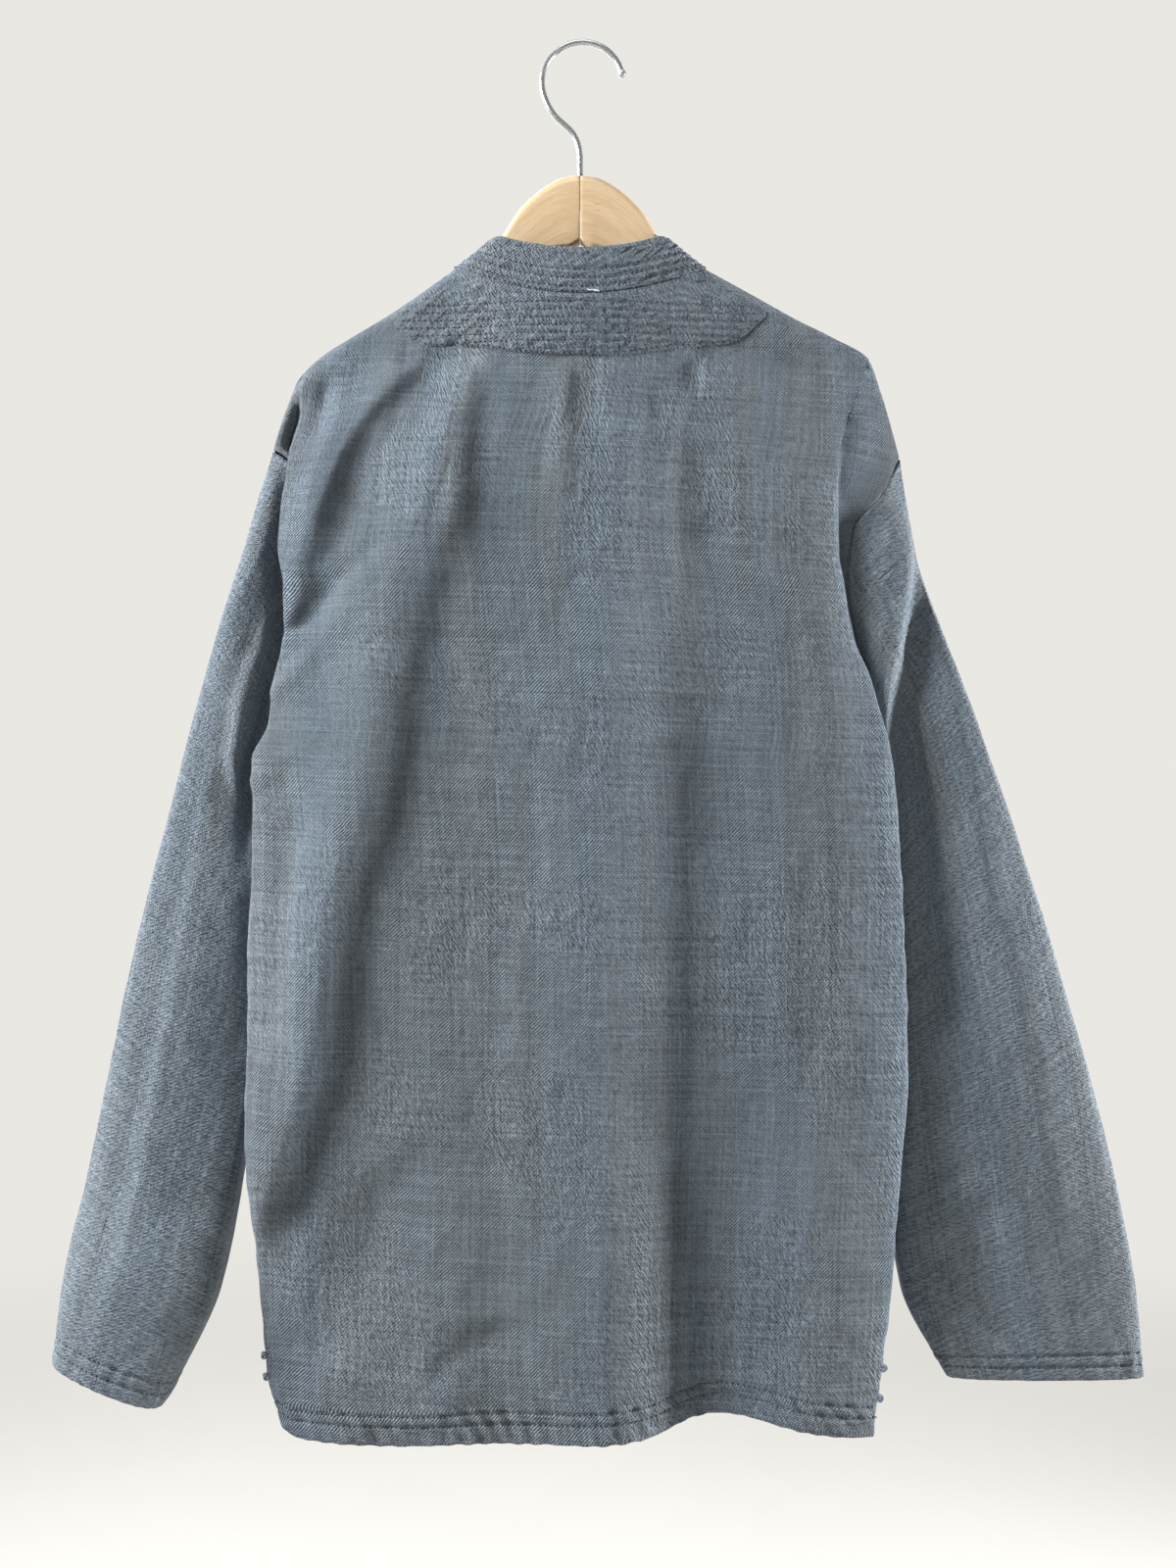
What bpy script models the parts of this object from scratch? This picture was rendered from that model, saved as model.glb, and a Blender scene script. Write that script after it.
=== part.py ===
"""Mandarin collar jacket of slub cotton, hung on a wooden hanger by the hanger's wire hook.

Metres, +Z up. The origin is the point inside the top of the hook where a peg holds it.
The back of the jacket faces -Y, the buttoned fronts face +Y, and +X is the wearer's right.
Sizes in the tables are millimetres; MM turns them into metres when a mesh is made.
"""

import math
from collections import namedtuple

import bpy
import numpy as np

MM = 0.001
LEFT, RIGHT = -1, 1

# Cloth
CLOTH = 1.2
HEM_CLOTH = 2.2
HEM_BAND = 17.0
COLLAR_CLOTH = 2.4
SEAM_GAP = 0.3
HEAD_GAP = 1.3
FOOT_GAP = 0.6

# Hanger and hook
WOOD_THICK = 12.6
WOOD_DEEP = 43.0
TIP_DEEP = 24.0
NOTCH_RISE = 4.0
NOTCH_HALF = 9.0
TIP_REACH = 181.0
HOOK_WIRE = 3.8
HOOK_RADIUS = 26.0
HOOK_LEAN = 1.5
HOOK_BALL = 5.2
STEM_TOP = -58.0
STEM_FOOT = -106.0
STEM_HOLE = 4.8
UNDER_ROUND = 0.6

# Neck and shoulders
NECK_HALF = 81.0
NECK_SIDE = -145.0
NECK_BACK_DROP = 20.0
NECK_BACK_OUT = 20.0
NECK_FRONT_DROP = 74.0
NECK_FRONT_OUT = 12.0
COLLAR_TOP_HALF = 55.5
COLLAR_BACK_RISE = 29.5
COLLAR_SIDE_RISE = 20.0
COLLAR_FRONT_RISE = 31.0
COLLAR_TOP_OUT = 17.0
COLLAR_OPENING = 0.4
RIDGE = 8.5
NECK_RIDGE = 9.3
COLLAR_RIDGE = 10.4
COLLAR_QUICKER = 2.2
SETTLE = 110.0

# Fronts
FRONT_FLAT = 12.0
FRONT_HEM = -866.0
OVERLAP = NECK_HALF * math.sin(math.radians(18))
UNDERLAP_DROP = 2.8
FRONT_ROUND = 3.0

# Fastenings
BUTTON_ACROSS = 14.0
BUTTON_THICK = 2.6
BUTTON_TOP = -262.0
BUTTON_STEP = -104.0
BUTTONS = 5
KNOT_RING = 2.0
KNOT_CORD = 2.2
KNOT_HEIGHTS = {LEFT: (-833.0, -846.0), RIGHT: (-840.0, -859.0)}
VENT_TOP = -858.0
VENT_OPEN = 10.0

# Grid of the panels: rows from the shoulder to the underarm, and from there to the hem
NECK_TURNS = np.array([0, 18, 36, 54, 64, 72, 78, 90])
SHOULDER_STEPS = 8
DROP_SHARES = np.array([0.3, 0.6, 0.84, 1.0])
ARM_ROWS = 10
LOW_ROWS = 13
RIDGE_TURNS = 3
FOLD_ROUND = 3.0
SLEEVE_ROWS = 18
SEAM_BLEND = 0.22

Place = namedtuple("Place", "x z")

# The shoulder line from the neck over the hanger's tip to the head of the sleeve seam
SHOULDER = {
    LEFT: [
        Place(x=-81, z=-145),
        Place(x=-118, z=-171),
        Place(x=-146, z=-188),
        Place(x=-165, z=-200),
        Place(x=-181, z=-215),
        Place(x=-189, z=-236),
        Place(x=-197, z=-260),
    ],
    RIGHT: [
        Place(x=81, z=-145),
        Place(x=112, z=-162),
        Place(x=137, z=-176),
        Place(x=163, z=-189),
        Place(x=185, z=-202),
        Place(x=194, z=-226),
        Place(x=205, z=-265),
    ],
}
TIP = {LEFT: Place(x=-181, z=-215), RIGHT: Place(x=185, z=-202)}
HEAD = {LEFT: Place(x=-197, z=-260), RIGHT: Place(x=205, z=-265)}
UNDERARM_Z = {LEFT: -418.0, RIGHT: -430.0}

# The wood's upper edge from the joint in the middle to the neck of the jacket
NeckWood = namedtuple("NeckWood", "reach z")
NECK_WOOD = [
    NeckWood(reach=0, z=-84),
    NeckWood(reach=10, z=-85.5),
    NeckWood(reach=20, z=-90),
    NeckWood(reach=38, z=-105),
    NeckWood(reach=54, z=-128.5),
    NeckWood(reach=81, z=-150),
]
WOOD_UNDER_CLOTH = 2.2

# The back's rolled side folds by height: where they stand across, and how far they stand out
Side = namedtuple("Side", "z left right left_out right_out middle_out")
SIDES = [
    Side(z=-202, left=-181, right=185, left_out=8, right_out=8, middle_out=20),
    Side(z=-236, left=-181, right=174, left_out=12, right_out=16, middle_out=23),
    Side(z=-270, left=-187, right=164, left_out=16, right_out=20, middle_out=26),
    Side(z=-327, left=-191, right=164, left_out=20, right_out=22, middle_out=30),
    Side(z=-350, left=-187, right=168, left_out=21, right_out=22, middle_out=31),
    Side(z=-377, left=-187, right=173, left_out=21, right_out=22, middle_out=32),
    Side(z=-413, left=-194, right=186, left_out=20, right_out=22, middle_out=33),
    Side(z=-438, left=-198, right=193, left_out=20, right_out=22, middle_out=34),
    Side(z=-460, left=-208, right=198, left_out=20, right_out=22, middle_out=34),
    Side(z=-537, left=-207, right=204, left_out=18, right_out=21, middle_out=35),
    Side(z=-600, left=-210, right=206, left_out=17, right_out=21, middle_out=36),
    Side(z=-660, left=-210, right=206, left_out=17, right_out=21, middle_out=36),
    Side(z=-722, left=-207, right=202, left_out=17, right_out=22, middle_out=37),
    Side(z=-784, left=-203, right=197, left_out=18, right_out=23, middle_out=38),
    Side(z=-846, left=-197, right=190, left_out=20, right_out=25, middle_out=39),
    Side(z=-884, left=-186, right=186, left_out=21, right_out=26, middle_out=40),
]
SEAM_BEHIND_FOLD = 11.0
VENT_BEHIND_FOLD = 3.0
VENT_REACH = 130.0
TUCK = 45.0
TUCK_FROM = 0.6
SEAM_LEAN = 0.9
SEAM_OUT = 7.0

# The sleeve seam from its head, share 0, down both sides of the arm to the underarm, share 1
Armhole = namedtuple("Armhole", "share back_x back_out front_x front_in")
ARMHOLES = {
    LEFT: [
        Armhole(share=0.0, back_x=-197, back_out=0, front_x=-197, front_in=0),
        Armhole(share=0.03, back_x=-197, back_out=3, front_x=-197, front_in=3.5),
        Armhole(share=0.15, back_x=-197, back_out=7, front_x=-196, front_in=9),
        Armhole(share=0.4, back_x=-195, back_out=9, front_x=-193, front_in=11.5),
        Armhole(share=0.55, back_x=-192, back_out=11, front_x=-190, front_in=11.5),
        Armhole(share=0.75, back_x=-190, back_out=9, front_x=-189, front_in=10),
        Armhole(share=0.95, back_x=-185, back_out=7, front_x=-185, front_in=4),
        Armhole(share=1.0, back_x=-184, back_out=6, front_x=-184, front_in=-6),
    ],
    RIGHT: [
        Armhole(share=0.0, back_x=205, back_out=0, front_x=205, front_in=0),
        Armhole(share=0.15, back_x=193, back_out=8, front_x=201, front_in=9),
        Armhole(share=0.29, back_x=174, back_out=9, front_x=198, front_in=11.5),
        Armhole(share=0.5, back_x=171, back_out=9, front_x=194, front_in=11.5),
        Armhole(share=0.75, back_x=177, back_out=8, front_x=187, front_in=10),
        Armhole(share=0.95, back_x=181, back_out=7, front_x=182, front_in=4),
        Armhole(share=1.0, back_x=180, back_out=6, front_x=180, front_in=-6),
    ],
}

# The back's hem, higher where a fold falls back from the eye
Hem = namedtuple("Hem", "x z")
BACK_HEM = [
    Hem(x=-186, z=-879),
    Hem(x=-176, z=-884),
    Hem(x=-116, z=-886),
    Hem(x=-56, z=-883),
    Hem(x=0, z=-883),
    Hem(x=42, z=-880),
    Hem(x=89, z=-870),
    Hem(x=146, z=-880),
    Hem(x=186, z=-884),
]

# The large folds of the back: a path down the cloth, the reach of each flank, and the height at
# the path's two ends; a valley has a negative height
Fold = namedtuple("Fold", "path left right top_height low_height")
BACK_FOLDS = {
    "long left ridge": Fold(
        path=[Place(-61, -215), Place(-104, -366), Place(-131, -535), Place(-183, -717)],
        left=36, right=24, top_height=14, low_height=10,
    ),
    "left shoulder ridge": Fold(
        path=[Place(-88, -185), Place(-149, -257), Place(-172, -324)],
        left=22, right=16, top_height=12, low_height=8,
    ),
    "middle ridge": Fold(
        path=[Place(12, -400), Place(14, -600), Place(18, -747), Place(0, -1000)],
        left=55, right=34, top_height=1, low_height=20,
    ),
    "right valley": Fold(
        path=[Place(62, -233), Place(62, -475), Place(66, -656), Place(98, -1030)],
        left=30, right=46, top_height=-7, low_height=-30,
    ),
    "low left valley": Fold(
        path=[Place(-104, -700), Place(-135, -765), Place(-176, -850)],
        left=22, right=30, top_height=-7, low_height=-5,
    ),
}
FOLD_FADE = 0.16

# A sleeve by its length from the seam, share 0, to the cuff, share 1: its outer and inner edge,
# how far its near and far sides stand from the middle, and where that middle lies
Sleeve = namedtuple("Sleeve", "share outer_x outer_z inner_x inner_z near far middle")
SLEEVES = {
    LEFT: [
        Sleeve(share=0.0, outer_x=-197, outer_z=-260, inner_x=-184, inner_z=-418,
               near=12, far=11, middle=0),
        Sleeve(share=0.1, outer_x=-214, outer_z=-317, inner_x=-199, inner_z=-446,
               near=9, far=11, middle=1),
        Sleeve(share=0.2, outer_x=-232, outer_z=-376, inner_x=-205, inner_z=-478,
               near=11, far=11, middle=1),
        Sleeve(share=0.4, outer_x=-263, outer_z=-492, inner_x=-204, inner_z=-560,
               near=15, far=12, middle=0),
        Sleeve(share=0.6, outer_x=-289, outer_z=-598, inner_x=-206, inner_z=-645,
               near=19, far=14, middle=0),
        Sleeve(share=0.8, outer_x=-311, outer_z=-716, inner_x=-218, inner_z=-738,
               near=26, far=20, middle=-7),
        Sleeve(share=0.9, outer_x=-322, outer_z=-776, inner_x=-230, inner_z=-798,
               near=33, far=27, middle=-16),
        Sleeve(share=1.0, outer_x=-328, outer_z=-832, inner_x=-259, inner_z=-861,
               near=35, far=29, middle=-20),
    ],
    RIGHT: [
        Sleeve(share=0.0, outer_x=205, outer_z=-265, inner_x=180, inner_z=-430,
               near=12, far=11, middle=0),
        Sleeve(share=0.1, outer_x=215, outer_z=-325, inner_x=196, inner_z=-462,
               near=9, far=11, middle=1),
        Sleeve(share=0.2, outer_x=235, outer_z=-382, inner_x=199, inner_z=-495,
               near=12, far=11, middle=1),
        Sleeve(share=0.4, outer_x=274, outer_z=-492, inner_x=202, inner_z=-575,
               near=16, far=12, middle=0),
        Sleeve(share=0.6, outer_x=311, outer_z=-610, inner_x=203, inner_z=-660,
               near=17, far=12, middle=0),
        Sleeve(share=0.8, outer_x=344, outer_z=-735, inner_x=199, inner_z=-745,
               near=17, far=12, middle=0),
        Sleeve(share=0.9, outer_x=355, outer_z=-795, inner_x=206, inner_z=-798,
               near=15, far=12, middle=0),
        Sleeve(share=1.0, outer_x=361, outer_z=-853, inner_x=234, inner_z=-853,
               near=14, far=11, middle=0),
    ],
}
SLEEVE_FLAT = 0.7

# Folds along a sleeve's near side: share of the width from the outer edge, by share of length
Run = namedtuple("Run", "share across")
SLEEVE_FOLDS = {
    LEFT: {
        "soft ridge": Fold(
            path=[Run(0.3, 0.42), Run(0.6, 0.4), Run(0.97, 0.4)],
            left=0.26, right=0.2, top_height=7, low_height=8,
        ),
        "armpit bulge": Fold(
            path=[Run(0.02, 0.5), Run(0.12, 0.55), Run(0.3, 0.6)],
            left=0.15, right=0.15, top_height=6, low_height=4,
        ),
    },
    RIGHT: {
        "near fold": Fold(
            path=[Run(0.06, 0.2), Run(0.16, 0.4), Run(0.3, 0.56), Run(0.5, 0.62)],
            left=0.16, right=0.2, top_height=8, low_height=4,
        ),
        "cuff dent": Fold(
            path=[Run(0.72, 0.8), Run(0.86, 0.72), Run(0.96, 0.7)],
            left=0.14, right=0.14, top_height=-5, low_height=-3,
        ),
    },
}

# The yoke patch: how far below the shoulder line its lower edge lies, by reach from the middle
Yoke = namedtuple("Yoke", "reach drop")
YOKE = [
    Yoke(reach=0, drop=39),
    Yoke(reach=30, drop=41),
    Yoke(reach=58, drop=44),
    Yoke(reach=81, drop=50),
    Yoke(reach=91, drop=44.5),
    Yoke(reach=100, drop=37),
    Yoke(reach=108, drop=27),
    Yoke(reach=113, drop=19.5),
    Yoke(reach=118, drop=12.5),
]
YOKE_CLOTH = 1.1
YOKE_GAP = 0.45
YOKE_TOP = 0.4
YOKE_SIDE_TOP = 9.0
QUILT_ROWS = 8
QUILT_RISE = 0.5

# The collar from its top edge, share 0, to its seam: stitched rows with raised cloth between them
CollarRow = namedtuple("CollarRow", "share rise")
COLLAR_ROWS = [
    CollarRow(share=0.0, rise=0.0),
    CollarRow(share=0.08, rise=0.4),
    CollarRow(share=0.4, rise=0.4),
    CollarRow(share=0.47, rise=0.0),
    CollarRow(share=0.565, rise=0.4),
    CollarRow(share=0.66, rise=0.0),
    CollarRow(share=0.755, rise=0.4),
    CollarRow(share=0.85, rise=0.0),
    CollarRow(share=0.925, rise=0.4),
    CollarRow(share=1.0, rise=0.0),
]


def listed(rows, name):
    """One named column of a table."""
    return np.array([getattr(row, name) for row in rows], float)


def smooth(at, stations, values):
    """Reads a column at any station, on a smooth curve that keeps between neighbouring rows."""
    order = np.argsort(stations)
    knots = np.asarray(stations, float)[order]
    heights = np.asarray(values, float)[order]
    step = np.diff(knots)
    slope = np.diff(heights) / step
    tangent = np.concatenate([slope[:1], np.zeros(len(slope) - 1), slope[-1:]])
    same_way = slope[:-1] * slope[1:] > 0
    total = np.where(same_way, slope[:-1] + slope[1:], 1.0)
    tangent[1:-1] = np.where(same_way, 2 * slope[:-1] * slope[1:] / total, 0.0)
    at = np.clip(at, knots[0], knots[-1])
    i = np.clip(np.searchsorted(knots, at, side="right") - 1, 0, len(step) - 1)
    t = (at - knots[i]) / step[i]
    rise = heights[i] * (1 + 2 * t) * (1 - t) ** 2 + heights[i + 1] * t * t * (3 - 2 * t)
    lean = tangent[i] * t * (1 - t) ** 2 + tangent[i + 1] * t * t * (t - 1)
    return rise + step[i] * lean


def table(rows, key, name, at):
    """A named column of a table, read at any value of its key column."""
    return smooth(at, listed(rows, key), listed(rows, name))


def ease(share):
    """A share from 0 to 1 that starts and stops gently."""
    share = np.clip(share, 0.0, 1.0)
    return share * share * (3 - 2 * share)


def mix(low, high, share):
    return low + (high - low) * share


def unit(vectors):
    length = np.linalg.norm(vectors, axis=-1, keepdims=True)
    return vectors / np.maximum(length, 1e-9)


def stacked(x, y, z):
    return np.stack(np.broadcast_arrays(x, y, z), axis=-1).astype(float)


def relief(folds, along_name, across_name, along, across):
    """How far a set of folds lifts the cloth at each point."""
    lift = np.zeros(np.broadcast(along, across).shape)
    for fold in folds.values():
        stations = listed(fold.path, along_name)
        line = smooth(along, stations, listed(fold.path, across_name))
        share = (along - stations[0]) / (stations[-1] - stations[0])
        inside = ease(share / FOLD_FADE) * ease((1 - share) / FOLD_FADE)
        aside = across - line
        flank = np.where(aside < 0, fold.left, fold.right)
        height = mix(fold.top_height, fold.low_height, np.clip(share, 0, 1))
        lift += height * inside * np.exp(-((aside / flank) ** 2))
    return lift


def neck_share(x):
    """1 in the middle of the neck, falling in a curve to 0 at its sides."""
    return np.clip(1 - (x / NECK_HALF) ** 2, 0, 1)


def neck_out(share, drop, reach, ridge=NECK_RIDGE):
    """How far the neckline stands from the hook's plane: over the wood's ridge, then round it."""
    return ridge * ridge_turn(drop * share) + (reach - ridge) * share


def shoulder_z(x):
    """Height of the shoulder line on either side of the neck."""
    left = table(SHOULDER[LEFT], "x", "z", np.minimum(x, -NECK_HALF))
    right = table(SHOULDER[RIGHT], "x", "z", np.maximum(x, NECK_HALF))
    return np.where(x < 0, left, right)


def top_z(x, neck_drop):
    """Height of a panel's upper edge: the neckline in the middle, the shoulder line outside it."""
    neck = NECK_SIDE - neck_drop * neck_share(x)
    return np.where(np.abs(x) < NECK_HALF, neck, shoulder_z(x))


def ridge_turn(drop):
    """The quarter round that cloth makes where it bends down over the hanger's upper edge."""
    left_over = 1 - np.clip(drop / RIDGE, 0, 1)
    return np.sqrt(np.clip(1 - left_over**2, 0, 1))


def panel_rows(length):
    """Drops below the shoulder line of the rows above the underarm, close together on the ridge."""
    turn = RIDGE * (1 - np.cos(np.linspace(0, math.pi / 2, RIDGE_TURNS + 1)))
    left_over = ARM_ROWS - RIDGE_TURNS
    share = (np.arange(1, left_over + 1) / left_over) ** 1.15
    turn = np.broadcast_to(turn[:, None], (RIDGE_TURNS + 1, len(length)))
    return np.vstack([turn, RIDGE + (length - RIDGE) * share[:, None]])


def seam_rows(length):
    """Drops below the head of the sleeve seam, spaced as points round a ring are."""
    share = (1 - np.cos(np.linspace(0, math.pi, ARM_ROWS + 1))) / 2
    return length * share[:, None]


def low_share():
    """Shares of the rows from the underarm to the hem; the last strip is the turned hem."""
    share = np.linspace(0, 1, LOW_ROWS) * (1 - HEM_BAND / (UNDERARM_Z[LEFT] - BACK_HEM[0].z))
    return np.append(share, 1.0)


def side_seam(side, z):
    """The side seam below the underarm, tucked in behind the back's rolled fold, less so at the vent."""
    fold = table(SIDES, "z", "left" if side == LEFT else "right", z)
    tucked = mix(VENT_BEHIND_FOLD, SEAM_BEHIND_FOLD, ease((z - VENT_TOP) / VENT_REACH))
    return fold - side * tucked, np.full_like(fold, -SEAM_OUT)


def vent(z):
    """How far apart the panels stand at the side: a seam's gap, and more in the vent."""
    hem = BACK_HEM[0].z
    return SEAM_GAP + VENT_OPEN * np.clip((VENT_TOP - z) / (VENT_TOP - hem), 0, 1.2)


def armhole(side, z, which):
    """The sleeve seam's place on the back or the front at a height between its head and the underarm."""
    share = np.clip((HEAD[side].z - z) / (HEAD[side].z - UNDERARM_Z[side]), 0, 1)
    rows = ARMHOLES[side]
    if which == "back":
        return table(rows, "share", "back_x", share), -table(rows, "share", "back_out", share)
    return table(rows, "share", "front_x", share), table(rows, "share", "front_in", share)


def panel_border(side, z, which):
    """A panel's outer border: the drop of the shoulder, then the sleeve seam, then the side seam."""
    drop = [place for place in SHOULDER[side] if place.z <= TIP[side].z]
    drop_x = smooth(z, listed(drop, "z"), listed(drop, "x"))
    arm_x, arm_y = armhole(side, z, which)
    low_x, low_y = side_seam(side, z)
    above, below = z > HEAD[side].z, z < UNDERARM_Z[side]
    x = np.where(above, drop_x, np.where(below, low_x, arm_x))
    y = np.where(above, 0.0, np.where(below, low_y, arm_y))
    apart = np.where(below, vent(z), SEAM_GAP) / 2
    return x, y + (apart if which == "front" else -apart)


def seam_inward(side, z, sign, lean):
    """The way into the arm's hollow from the sleeve seam: down at its head, up at the underarm.

    sign is 1 on the back and -1 on the front; lean tips it, at the underarm, into the cloth's own side.
    """
    share = np.clip((HEAD[side].z - z) / (HEAD[side].z - UNDERARM_Z[side]), 0, 1)
    turn = np.arccos(np.clip(1 - 2 * share, -1, 1))
    inside = -side * 0.9 * np.exp(-((turn / 0.3) ** 2)) + side * lean * np.sin(turn / 2) ** 4
    return unit(stacked(inside, sign * np.sqrt(np.sin(turn)), 0.15 - 0.35 * np.cos(turn)))


def back_face(across, z, drop):
    """The back between its two rolled folds: across is -1 on the left fold and 1 on the right."""
    left = table(SIDES, "z", "left", z)
    right = table(SIDES, "z", "right", z)
    x = mix(left, right, (across + 1) / 2)
    edge = mix(
        table(SIDES, "z", "left_out", z), table(SIDES, "z", "right_out", z), (across + 1) / 2
    )
    crown = table(SIDES, "z", "middle_out", z)
    roll = np.clip(1 - np.abs(across) ** FOLD_ROUND, 0, 1) ** (1 / FOLD_ROUND)
    hang = edge + (crown - edge) * roll + relief(BACK_FOLDS, "z", "x", z, x)
    start = mix(RIDGE, NECK_BACK_OUT, neck_share(x))
    out = mix(start, hang, ease(drop / SETTLE))
    neck = neck_out(neck_share(x), NECK_BACK_DROP, NECK_BACK_OUT)
    return stacked(x, -mix(neck + SEAM_GAP / 2, out, ridge_turn(drop)), z)


def back_strip(side, share, z):
    """The back behind a rolled fold: share is 0 on the fold and 1 on the sleeve or side seam."""
    fold = back_face(np.full_like(z, side), z, TIP[side].z - z)
    seam_x, seam_y = panel_border(side, z, "back")
    reached = np.clip((TIP[side].z - z) / (TIP[side].z - HEAD[side].z), share, 1)
    part = np.where(reached > 0, share / np.maximum(reached, 1e-9), 1.0)
    tucked = ease((HEAD[side].z + TUCK / 4 - z) / TUCK)
    rolled_in = mix(part, part**2, 0.7)
    rolled_back = mix(part, 1 - (1 - part) ** 2, 0.5)
    x = mix(fold[..., 0], seam_x, mix(np.sin(part * math.pi / 2), rolled_in, tucked))
    y = mix(fold[..., 1], seam_y, mix(1 - np.cos(part * math.pi / 2), rolled_back, tucked))
    return stacked(x, y, z)


def neck_stations():
    """Places across the neck that the panels and the collar share."""
    return NECK_HALF * np.sin(np.radians(NECK_TURNS))


def shoulder_stations(side):
    """Distances from the middle along a shoulder to the hanger's tip, closer together outwards."""
    out = np.sin(np.linspace(0, math.pi / 2, SHOULDER_STEPS + 1))[1:]
    return mix(NECK_HALF, side * TIP[side].x, out)


def drop_stations(side):
    """Places down the dropped shoulder, from past the hanger's tip to the head of the sleeve seam."""
    z = mix(TIP[side].z, HEAD[side].z, DROP_SHARES)
    drop = [place for place in SHOULDER[side] if place.z <= TIP[side].z]
    return smooth(z, listed(drop, "z"), listed(drop, "x")), z


def face_stations():
    """Places across the back on the shoulder line, from tip to tip."""
    right = np.concatenate([neck_stations(), shoulder_stations(RIGHT)])
    left = np.concatenate([neck_stations(), shoulder_stations(LEFT)])
    return np.concatenate([-left[:0:-1], right])


def back_grid():
    """Outer points of the back panel, row by row from the shoulder line to the hem."""
    x_top = face_stations()
    middle = (TIP[LEFT].x + TIP[RIGHT].x) / 2
    across = (x_top - middle) / (TIP[RIGHT].x - middle)
    z_top = top_z(x_top, NECK_BACK_DROP)
    z_arm = mix(UNDERARM_Z[LEFT], UNDERARM_Z[RIGHT], (across + 1) / 2)
    hem_x = mix(BACK_HEM[0].x, BACK_HEM[-1].x, (across + 1) / 2)
    z_hem = table(BACK_HEM, "x", "z", hem_x)
    upper = z_top - panel_rows(z_top - z_arm)
    lower = mix(z_arm, z_hem, low_share()[1:, None])
    z = np.vstack([upper, lower])
    face = back_face(across[None, :], z, z_top - z)
    strips = {}
    for side in (LEFT, RIGHT):
        share = DROP_SHARES
        _, top = drop_stations(side)
        length = top - UNDERARM_Z[side]
        upper = top - mix(panel_rows(length), seam_rows(length), ease(1.5 * share))
        lower = mix(UNDERARM_Z[side], z_hem[0 if side == LEFT else -1], low_share()[1:, None])
        lower = np.broadcast_to(lower, (LOW_ROWS, len(share)))
        strips[side] = back_strip(side, share, np.vstack([upper, lower]))
    return np.concatenate([strips[LEFT][:, ::-1], face, strips[RIGHT]], axis=1)


def normals_of(grid, wraps=False):
    """Unit normals of a grid of points; wraps says that its last column meets its first."""
    if wraps:
        along = np.roll(grid, -1, axis=1) - np.roll(grid, 1, axis=1)
    else:
        along = np.gradient(grid, axis=1)
    down = np.gradient(grid, axis=0)
    return unit(np.cross(down, along))


def collar_edges(turn):
    """The collar's lower and upper edge at an angle round the neck, 0 in the middle of the back."""
    side, fore = np.sin(turn), np.cos(turn)
    back = fore >= 0
    share = fore**2
    low_y = np.where(
        back,
        -neck_out(share, NECK_BACK_DROP, NECK_BACK_OUT),
        neck_out(share, NECK_FRONT_DROP, NECK_FRONT_OUT),
    )
    low_z = NECK_SIDE - share * np.where(back, NECK_BACK_DROP, NECK_FRONT_DROP)
    low = stacked(NECK_HALF * side, low_y, low_z)
    rise = np.where(
        back,
        mix(COLLAR_SIDE_RISE, COLLAR_BACK_RISE, share),
        mix(COLLAR_SIDE_RISE, COLLAR_FRONT_RISE, share),
    )
    top_y = np.where(
        back,
        -neck_out(share, COLLAR_QUICKER * NECK_BACK_DROP, COLLAR_TOP_OUT, COLLAR_RIDGE),
        neck_out(share, NECK_FRONT_DROP, NECK_FRONT_OUT, COLLAR_RIDGE),
    )
    return low, stacked(COLLAR_TOP_HALF * side, top_y, low_z + rise)


def collar_rise(x, which):
    """The way the collar stands up from the neckline above a place across the neck."""
    turn = np.arcsin(np.clip(x / NECK_HALF, -1, 1))
    if which == "front":
        turn = math.pi - turn
    low, top = collar_edges(turn)
    return unit(top - low)


def square(normals, crossing):
    """Normals without their part across a seam, so that the cloths on both sides meet squarely."""
    return unit(normals - (normals * crossing).sum(-1, keepdims=True) * crossing)


def neck_and_shoulder_square(normals, top_row, which):
    """Turns the normals of a panel's top row to suit the collar and the other panel's shoulder."""
    x = top_row[:, 0]
    flat = normals.copy()
    on_shoulder = np.abs(x) > NECK_HALF - 0.5
    flat[on_shoulder] = square(flat[on_shoulder], np.array([0.0, 1.0, 0.0]))
    on_neck = np.abs(x) < NECK_HALF + 0.5
    flat[on_neck] = square(flat[on_neck], collar_rise(x[on_neck], which))
    return flat


def border_inward(side, rows, which):
    """Ways into the hollow down a panel's outer border; the back's turns in behind its fold."""
    z = rows[:, 2]
    on_arm = (z >= UNDERARM_Z[side] - 0.01)[:, None]
    if which == "front":
        return np.where(on_arm, seam_inward(side, z, -1, -SEAM_LEAN), np.array([-side, 0.0, 0.0]))
    share = (HEAD[side].z - z) / (HEAD[side].z - UNDERARM_Z[side])
    tucked = ease((share - TUCK_FROM) / (1 - TUCK_FROM))[:, None]
    behind = np.array([-0.5 * side, -0.75, 0.4])
    ring = unit(mix(seam_inward(side, z, 1, -SEAM_LEAN), behind, tucked))
    return np.where(on_arm, ring, unit(np.array([-0.5 * side, -0.85, 0.0])))


def hem_thickness(rows):
    """Cloth thickness by row: the last two rows are the turned hem."""
    thick = np.full(rows, CLOTH)
    thick[-2:] = HEM_CLOTH
    return thick


def plain_material(name, colour, roughness, metallic=0.0):
    material = bpy.data.materials.new(name)
    material.use_nodes = True
    surface = material.node_tree.nodes["Principled BSDF"]
    surface.inputs["Base Color"].default_value = (*colour, 1.0)
    surface.inputs["Roughness"].default_value = roughness
    surface.inputs["Metallic"].default_value = metallic
    return material


def add_mesh(name, points, faces, material):
    mesh = bpy.data.meshes.new(name)
    mesh.from_pydata([tuple(point * MM) for point in points], [], faces)
    mesh.update()
    mesh.shade_smooth()
    mesh.materials.append(material)
    piece = bpy.data.objects.new(name, mesh)
    bpy.context.scene.collection.objects.link(piece)
    return piece


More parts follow.
